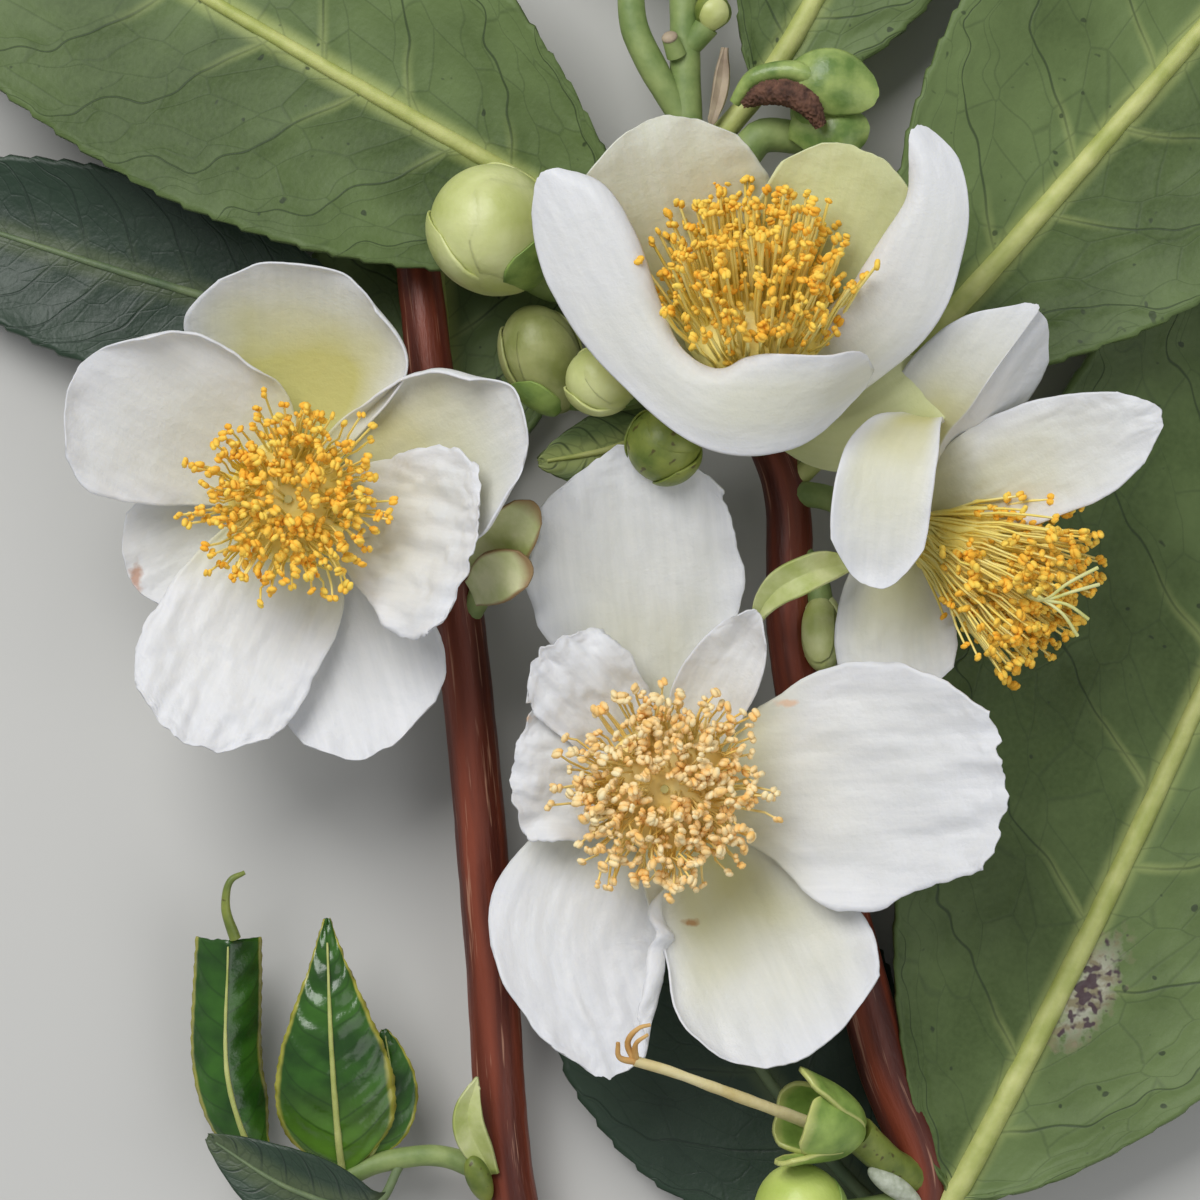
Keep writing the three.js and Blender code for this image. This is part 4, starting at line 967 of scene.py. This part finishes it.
def bloom_parts(name, bloom, number):
    facing = Vector(bloom["facing"]).normalized()
    base = seen(bloom["base"])
    seed = 10 * number
    parts = [petal(bloom, seed + i, **each) for i, each in enumerate(PETALS[name])]
    parts.append(lump(base + facing * 0.7, base + facing * HUB_TOP, HUB_RADIUS, PETAL, rings=12))
    piece(name + "_corolla", parts, "petal", name + "_petals")

    # Stamens stand round the short green style of the ovary
    spec = dict(bloom["boss"])
    foot = base + facing * (HUB_TOP + CLEARANCE)
    towards = seen(spec.pop("tip")) - foot
    slot, core = spec.pop("slot"), spec.pop("core")
    parts = [boss(foot, towards, towards.length, seed=seed, **spec),
             lump(foot, foot + towards * CORE_HEIGHT, core, spec["coat"], shape=mound, rings=14, sides=24,
                  knob=0.3, size=0.9),
             limb([foot, foot + towards * 0.35, foot + towards * 0.6], [0.5, 0.4, 0.35], STIGMA, count=10,
                  sides=10)]
    for k, line in enumerate(bloom.get("lobes", [])):
        line = [foot + towards * 0.55, *all_seen(STYLE_FORK, *line)]
        parts.append(limb(line, [0.26, 0.22, 0.13, 0.16], STIGMA, count=24, sides=10, seed=k))
    piece(name + "_boss", parts, slot, name + "_stamens")

    low = base - facing * CALYX_DEPTH
    high = base + facing * 0.4
    stalk = [base + facing * (0.8 - CALYX_DEPTH)] + all_seen(*bloom["stalk"])
    parts = [lump(low, high, CALYX_RADIUS * 0.8, SEPAL, rings=14),
             limb(stalk, [1.3, 1.1, 1.1], SHOOT, count=24, sides=14, knob=0.06)]
    for k in range(5):
        azimuth = 2 * math.pi * k / 5 + 0.3 * number
        parts.append(sepal(low, high + facing * 2.4, CALYX_RADIUS * 0.86, azimuth, 0.8, 0.8, SEPAL, seed + k,
                           flare=0.6))
    piece(name + "_cup", parts, "calyx", name + "_calyx")


# Leaves
LEAVES = {
    "lower_right_leaf": dict(line=[(26, -55, 6.2), (28, -52, 7.4), (30.2, -48.4, 7.8), (41.4, -26.5, 6.6),
        (51, -6, 4.6), (77, 52, 0.8)], wide=47, droop=0.13, stalk=0.055, coat=LEAF_UNDER, slot="leaf_under",
        teeth=44, tooth=0.2),
    "top_right_leaf": dict(line=[(15.8, 9.6, 8), (25.4, 19.6, 10.2), (47, 44, 11), (66, 66, 6.5),
        (82, 85, 0.8)], wide=38, droop=0.16, stalk=0.13, coat=LEAF_UNDER_OTHER_HALF_LIT, slot="leaf_under", teeth=40),
    "top_left_leaf": dict(line=[(8.3, 27, 9), (1, 30.8, 10.4), (-22, 43.9, 11), (-48, 59, 7),
        (-71.6, 72, 0.8)], wide=34, droop=0.17, stalk=0.08, coat=LEAF_UNDER, slot="leaf_under", teeth=38,
        rib=0.75),
    "top_centre_leaf": dict(line=[(8, 36.5, 8), (13.6, 43, 7.6), (20, 54, 7), (32, 78, 2)], wide=19,
        droop=0.14, stalk=0.16, coat=LEAF_UNDER, slot="leaf_under", teeth=24),
    "dark_left_leaf": dict(line=[(-14, 17, 6.4), (-19, 20.5, 4.4), (-44, 28.6, 4), (-64, 35, 1)], wide=17,
        droop=0.12, stalk=0.1, coat=LEAF_UPPER, slot="leaf_upper", teeth=24, rib=0.5, quilt=0.35),
    "grey_leaf": dict(line=[(-12.4, 5, 5.4), (-12.6, 9, 3.4), (-13.4, 27, 1.8), (-16, 47, 1.4)], wide=22,
        droop=0.04, stalk=0.08, coat=LEAF_UNDER, slot="leaf_under", teeth=20, ruffle=0.4, rib=0.7),
    "slate_leaf": dict(line=[(26.4, -52.5, 5), (23, -50.5, 3.4), (12, -37, 2.2), (0, -12, 1.4)], wide=29,
        droop=0.06, stalk=0.07, coat=LEAF_UPPER, slot="leaf_upper", teeth=24, ruffle=0.5, rib=0.6,
        quilt=0.35),
    "small_leaf": dict(line=[(12, 17, 8.2), (6, 14.6, 8.6), (1, 12.6, 9), (-5.4, 11.4, 9.4)], wide=7,
        droop=0.1, stalk=0.3, rib=0.6, coat=LEAF_UNDER, slot="leaf_under", teeth=0, ruffle=0.3, quilt=0.5),
    "shoot_leaf_left": dict(line=[(6.9, 53, 7.4), (4.6, 57, 7.6), (-4, 66, 6), (-14, 76, 1.4)], wide=13,
        rib=0.7, coat=LEAF_YOUNG, slot="young_leaf", teeth=20, tooth=0.25, ruffle=0.6, quilt=0.6),
    "shoot_leaf_right": dict(line=[(6.8, 56, 7), (8, 60, 7.2), (11, 70, 6), (12.6, 84, 2)], wide=11,
        rib=0.7, coat=LEAF_YOUNG, slot="young_leaf", teeth=20, tooth=0.25, ruffle=0.6, quilt=0.6),
    "young_leaf_middle": dict(line=[(-21.4, -48.2, 5.6), (-21.8, -45, 7.6), (-22.4, -37, 10),
        (-22.8, -26.2, 9.4)], wide=10.4, droop=-0.22, rib=0.3, coat=LEAF_YOUNG, slot="young_leaf", teeth=26,
        tooth=0.18, ruffle=0.3, quilt=1.8, outline=[0.08, 0.6, 0.92, 1, 0.98, 0.88, 0.72, 0.54, 0.34, 0.17,
        0.03], rib_end=0.9, thick=0.2),
    "young_leaf_left": dict(line=[(-22.2, -48.9, 5.4), (-27.4, -48, 6), (-30.8, -41, 7), (-31, -28, 8.4)],
        wide=6, droop=-0.2, keel=0.5, rib=0.3, coat=LEAF_YOUNG, slot="young_leaf", teeth=22, tooth=0.14,
        ruffle=0.3, outline=[0.1, 0.15, 0.5, 0.92, 1, 1, 0.98, 0.94], rib_end=0.97, thick=0.2),
    "young_leaf_low": dict(line=[(-16.5, -46.8, 5.4), (-19, -50.6, 8.4), (-25.5, -49.2, 9.8),
        (-33, -44.6, 8.8)], wide=7, droop=0.1, rib=0.4, stalk=0.16, coat=LEAF_UPPER, slot="leaf_upper",
        teeth=0, ruffle=0.3, quilt=0.3, thick=0.3),
    "young_leaf_behind": dict(line=[(-19.8, -47.6, 5.4), (-17.8, -43.4, 6), (-17.4, -40, 6.2),
        (-18, -35.6, 6)], wide=4.6, droop=-0.1, stalk=0.1, rib=0.25, coat=LEAF_YOUNG, slot="young_leaf",
        teeth=14, tooth=0.12, ruffle=0.2, thick=0.2),
}


def leaves():
    for number, (name, spec) in enumerate(LEAVES.items()):
        spec = dict(spec)
        slot = spec.pop("slot")
        node = [] if name == "young_leaf_behind" else [name]
        piece(name + "_blade", leaf(number + 1, **spec), slot, *node)


# Buds. Each scale is (azimuth, reach, share, coat).
BUDS = {
    "large_bud": dict(foot=(-6.2, 26, 13), tip=(-11.4, 35.4, 18), radius=5.6, coat=BUD, slot="bud",
        stalk=[(-3, 25.6, 11.4), (8, 26.8, 9)], scales=[(0.4, 0.96, 0.95, BUD), (2.4, 0.9, 0.9, BUD),
        (4.6, 0.86, 0.95, BUD), (0.5, 0.46, 0.7, SEPAL), (4.2, 0.36, 0.5, SEPAL), (2.6, 0.36, 0.5, SEPAL)]),
    # The second bud's body and scales are painted darker, as painted shade.
    "second_bud": dict(foot=(-3, 15.6, 10.6), tip=(-6.4, 24.4, 12.6), radius=3.5, coat=BUD_SHADED, slot="bud",
        stalk=[(2, 16.8, 9.4), (10.8, 19.2, 8.4)], scales=[(0.2, 0.93, 0.9, BUD_SHADED),
        (2.3, 0.88, 0.9, BUD_SHADED), (4.4, 0.9, 0.9, BUD_SHADED), (1.2, 0.45, 0.7, SEPAL),
        (3.3, 0.42, 0.7, SEPAL), (5.4, 0.45, 0.7, SEPAL)]),
    "small_bud": dict(foot=(2.6, 16.8, 16.4), tip=(-2.4, 19.6, 18.6), radius=2.9, coat=BUD, slot="bud",
        stalk=[(5.4, 17.6, 13), (10.6, 20, 8.6)], scales=[(0.4, 0.93, 0.9, BUD), (2.4, 0.9, 0.9, BUD),
        (4.5, 0.9, 0.9, BUD), (1.4, 0.35, 0.6, SEPAL), (4.0, 0.35, 0.6, SEPAL)]),
    "green_bud": dict(foot=(7.6, 14.2, 14.6), tip=(3.4, 11.8, 19), radius=3.4, coat=BUD_GREEN,
        slot="green_bud", stalk=[(10, 14.6, 11.4), (13.6, 13.2, 8.4)], scales=[(0.3, 0.92, 0.9, BUD_GREEN),
        (2.5, 0.86, 0.9, BUD_GREEN), (4.6, 0.88, 0.9, BUD_GREEN)]),
    "edge_bud": dict(foot=(8.8, 47.4, 9), tip=(9.8, 50.6, 9.6), radius=1.6, coat=BUD_GREEN,
        slot="green_bud", stalk=[(7.4, 46, 8.6)], scales=[(0.3, 0.9, 0.9, BUD), (2.6, 0.85, 0.9, BUD_GREEN)]),
    "side_shoot_bud": dict(foot=(2.6, 54.2, 8.2), tip=(2.4, 60.6, 7.4), radius=2.4, coat=BUD, slot="bud",
        stalk=[(2.6, 52.6, 8.4)], scales=[(0.3, 0.92, 0.9, BUD), (2.5, 0.86, 0.9, BUD),
        (4.6, 0.5, 0.8, SEPAL)]),
    "left_stem_bud": dict(foot=(-17, 40.2, 3.2), tip=(-17.8, 45, 2.2), radius=1.4, coat=BUD_GREEN,
        slot="green_bud", stalk=[(-16.8, 38.8, 3.4)], scales=[(0.3, 0.92, 0.9, BUD_GREEN),
        (3.0, 0.86, 0.9, BUD_GREEN)]),
    "pale_bud": dict(foot=(18.4, 0.6, 8.6), tip=(18.6, -6, 10.4), radius=1.9, coat=SEPAL_PALE, slot="bud",
        stalk=[(17.8, 2.4, 8.6), (15.8, 5, 8.2)], scales=[(0.3, 0.92, 0.9, SEPAL_PALE),
        (2.4, 0.86, 0.9, SEPAL_PALE), (4.5, 0.88, 0.9, SEPAL_PALE)]),
    "notched_bud": dict(foot=(-9.8, 1, 9.4), tip=(-7.2, 5.6, 11.6), radius=2.6, coat=SEPAL_PALE,
        slot="calyx", stalk=[(-10.2, 0, 8.8), (-11.2, -2, 7.4)],
        lobes=[([(-10, 2.4, 14), (-7.4, 5.6, 18.6), (-5.3, 8.2, 19.6)], [1.6, 2.4, 2.3, 1.2]),
        ([(-10.6, 0.6, 14), (-8, 2.2, 18.8), (-5.5, 2.8, 20)], [1.2, 2, 2.2, 1.3])],
        scales=[(2.1, 0.9, 0.95, SEPAL_BROWNED), (4.3, 0.92, 0.95, SEPAL_BROWNED)]),
    "green_fruit": dict(foot=(20.4, -51.2, 10.6), tip=(13.2, -51, 13.6), radius=4.6, coat=FRUIT,
        slot="fruit", stalk=[(23, -50.6, 9), (26.8, -49.4, 6.6)], scales=[(0.8, 0.22, 0.5, SEPAL),
        (3.0, 0.22, 0.5, SEPAL), (5.2, 0.22, 0.5, SEPAL)]),
}


def buds():
    for number, (name, spec) in enumerate(BUDS.items()):
        foot, tip = all_seen(spec["foot"], spec["tip"])
        radius = spec["radius"] * BUD_BODY
        stalk = [foot.lerp(tip, 0.15)] + all_seen(*spec["stalk"])
        parts = [lump(foot, tip, radius, spec["coat"], shape=bud_roundness, seed=number),
                 limb(stalk, [1.1, 0.95], SHOOT, count=20, sides=14, knob=0.05, seed=number)]
        parts += [lobe(*each, SEPAL_BROWNED, k) for k, each in enumerate(spec.get("lobes", []))]
        parts += [sepal(foot, tip, radius, *scale, 7 * number + k, proud=0.08 * (k + 1), thick=0.2)
                  for k, scale in enumerate(spec["scales"])]
        piece(name + "_scales", parts, spec["slot"], name)


def spent_flower():
    foot, mouth = all_seen((21.4, -44.4, 12), (16.2, -43, 15.4))
    stalk = [foot] + all_seen((24, -46.8, 9.6), LOWER_NODE)
    parts = [lump(foot, foot.lerp(mouth, 0.7), 2.0, SEPAL, rings=16),
             limb(stalk, [1.6, 1.4, 1.6], BUD_GREEN, count=20, knob=0.14, lump=0.8)]
    for k, (azimuth, reach, share, flare) in enumerate([
        (2.7, 1.0, 0.8, 0.5), (-2.6, 0.95, 0.8, 0.5), (-1.3, 1.1, 0.75, 1.3), (0.0, 1.16, 1.15, 0.2),
        (1.15, 1.25, 0.75, 1.0),
    ]):
        parts.append(sepal(foot, mouth, 2.9, azimuth, reach, share, SEPAL_RIMMED, 90 + k, flare=flare,
                           proud=0.1 + 0.12 * k, shape=open_cup, ruffle=0.5, fold=0.3, thick=0.42))
    piece("spent_flower_cup", parts, "calyx", "spent_calyx")
    style = all_seen((17, -43.4, 14.4), (10, -40.8, 18.2), (5.6, -39.2, 20), (2.9, -38.4, 20.6))
    curls = [((2.9, -38.4, 20.6), (2.3, -36.9, 21.1), (3.2, -35.7, 21.6), (4.2, -35.4, 21.4)),
             ((3.1, -38.5, 20.6), (1.6, -38.1, 21.3), (1.5, -36.9, 21.8)),
             ((3.0, -38.4, 20.6), (3.0, -37.0, 21.7), (4.0, -36.2, 22.2))]
    parts = [limb(style, [0.55, 0.5, 0.42, 0.45], STYLE, sides=12, knob=0.1)]
    parts += [limb(all_seen(*curl), [0.3, 0.24, 0.16], CURL, count=16, sides=10, knob=0.1) for curl in curls]
    piece("spent_flower_style", parts, "style", "spent_style")


def opened_calyx():
    """Where petals and stamens fell off: fleshy green sepals round a crescent of brown felt."""
    foot, top = all_seen((17.4, 38.4, 8.6), (19.8, 42.6, 11))
    stalk = [foot] + all_seen((13.4, 38.6, 9.6), (11.6, 36.4, 9.4), (8, 32, 8.4))
    felt = all_seen((12, 41.4, 11.8), (13.7, 42.2, 13), (15.8, 42.2, 14), (17.4, 41.2, 14.4),
                    (18.4, 39.5, 14))
    rim = all_seen((11.2, 41.4, 11.4), (12.8, 43.4, 12.2), (15.8, 44.1, 12.8), (18.8, 43.2, 13.2))
    parts = [lump(foot, top, 2.9, SEPAL, rings=16),
             limb(stalk, [1.4, 1.5, 1.4, 1.2], SHOOT, count=24, sides=14, knob=0.06),
             limb(rim, [0.5, 0.9, 0.9, 0.8], FLESHY, count=26, sides=14, knob=0.12),
             limb(felt, [0.4, 1.0, 1.1, 1.05, 0.5], FUZZ, count=110, sides=64, knob=0.3, lump=4.0)]
    for k, (line, half) in enumerate([
        ([(14.6, 42.6, 11.6), (18.6, 43.4, 13.8), (23.2, 41.8, 12.8)], [1.2, 2.4, 2.7, 1.2]),
        ([(16, 39.6, 10.8), (19.4, 38.9, 12.6), (22.4, 39.6, 11.6)], [1.2, 2, 2.2, 1]),
    ]):
        parts.append(lobe(line, half, FLESHY, 110 + k, cup=-0.32, thick=0.8, fold=0.0, crinkle=0.0))
    piece("opened_calyx_cup", parts, "calyx", "open_calyx")


def small_scales():
    """Bract, bud scales and the curled tip of a young leaf."""
    bract = lobe([(20.6, 3, 14.6), (17.8, 2.4, 17), (15.2, 1.2, 16.8), (13.7, -0.4, 15.6), (13.1, -2, 14)],
                 [0.7, 1.3, 1.5, 1.0, 0.3], SEPAL_PALE, 131, keel=0.45, fold=0.3)
    piece("right_bloom_bract", [bract], "calyx")
    dry = lobe([(10.4, 46, 8.6), (10, 42.4, 9.2), (9.2, 39.4, 9.2)], [0.2, 0.6, 0.6, 0.3], SCALE_DRY, 132,
               keel=0.3)
    piece("dry_bud_scale", [dry], "green_bud")
    pod = lobe([(-9, -47.8, 7.4), (-11, -43.3, 9), (-10.2, -39.6, 9.6)], [0.6, 1.3, 1.2, 0.2], SEPAL_PALE,
               133, keel=0.5)
    bulb = lump(*all_seen((-9.3, -50.2, 7), (-10.8, -46.4, 8.8)), 1.1, BUD_GREEN, shape=bud_roundness, seed=3)
    piece("left_axil_scale", [pod, bulb], "green_bud")
    curl = limb(all_seen((-30.4, -28.2, 8.4), (-31.2, -25.6, 9.2), (-30.8, -23.4, 9.6), (-29.6, -22.7, 9.4)),
                [0.5, 0.42, 0.34, 0.2], BUD_GREEN, count=24, sides=12, knob=0.08)
    piece("young_leaf_curl", [curl], "young_leaf")
    silky = lump(*all_seen((26.8, -50.4, 8.2), (22.4, -47.4, 11.2)), 0.95, SILKY, shape=bud_roundness, seed=5)
    piece("silky_leaf_bud", [silky], "green_bud")


twigs()
for number, (name, bloom) in enumerate(BLOOMS.items()):
    bloom_parts(name, bloom, number + 1)
leaves()
buds()
spent_flower()
opened_calyx()
small_scales()


# Floor, light and camera
def surroundings():
    bpy.ops.mesh.primitive_plane_add(size=4)
    floor = bpy.context.object
    floor.name = "pale_floor"
    matt, add = new_material("pale_matt_floor")
    add("ShaderNodeOutputMaterial", add("ShaderNodeBsdfPrincipled", "#c9c8c4", Roughness=0.9))
    floor.data.materials.append(matt)

    world = bpy.data.worlds.new("soft_room")
    bpy.context.scene.world = world
    world.use_nodes = True
    sky = world.node_tree.nodes["Background"].inputs
    sky["Color"].default_value = colour("#e9edf2")
    sky["Strength"].default_value = 0.36
    for name, place, size, power in (("soft_key", (-0.3, 0.44, 0.66), 0.5, 5.4),
                                     ("soft_fill", (0.5, -0.3, 0.6), 0.6, 1.4)):
        lamp = bpy.data.lights.new(name, "AREA")
        lamp.size = size
        lamp.energy = power
        holder = in_scene(name, lamp)
        holder.location = place
        holder.rotation_euler = (-Vector(place)).to_track_quat("-Z", "Y").to_euler()

    camera = bpy.data.cameras.new("camera")
    camera.angle = 2 * math.atan(HALF_VIEW / (EYE_HEIGHT - BLOOM_HEIGHT))
    camera.clip_start = 0.01
    eye = in_scene("camera", camera)
    eye.location = (shift + Vector((0, 0, EYE_HEIGHT))) * MM
    bpy.context.scene.camera = eye
    bpy.context.scene.view_settings.view_transform = "Standard"


surroundings()
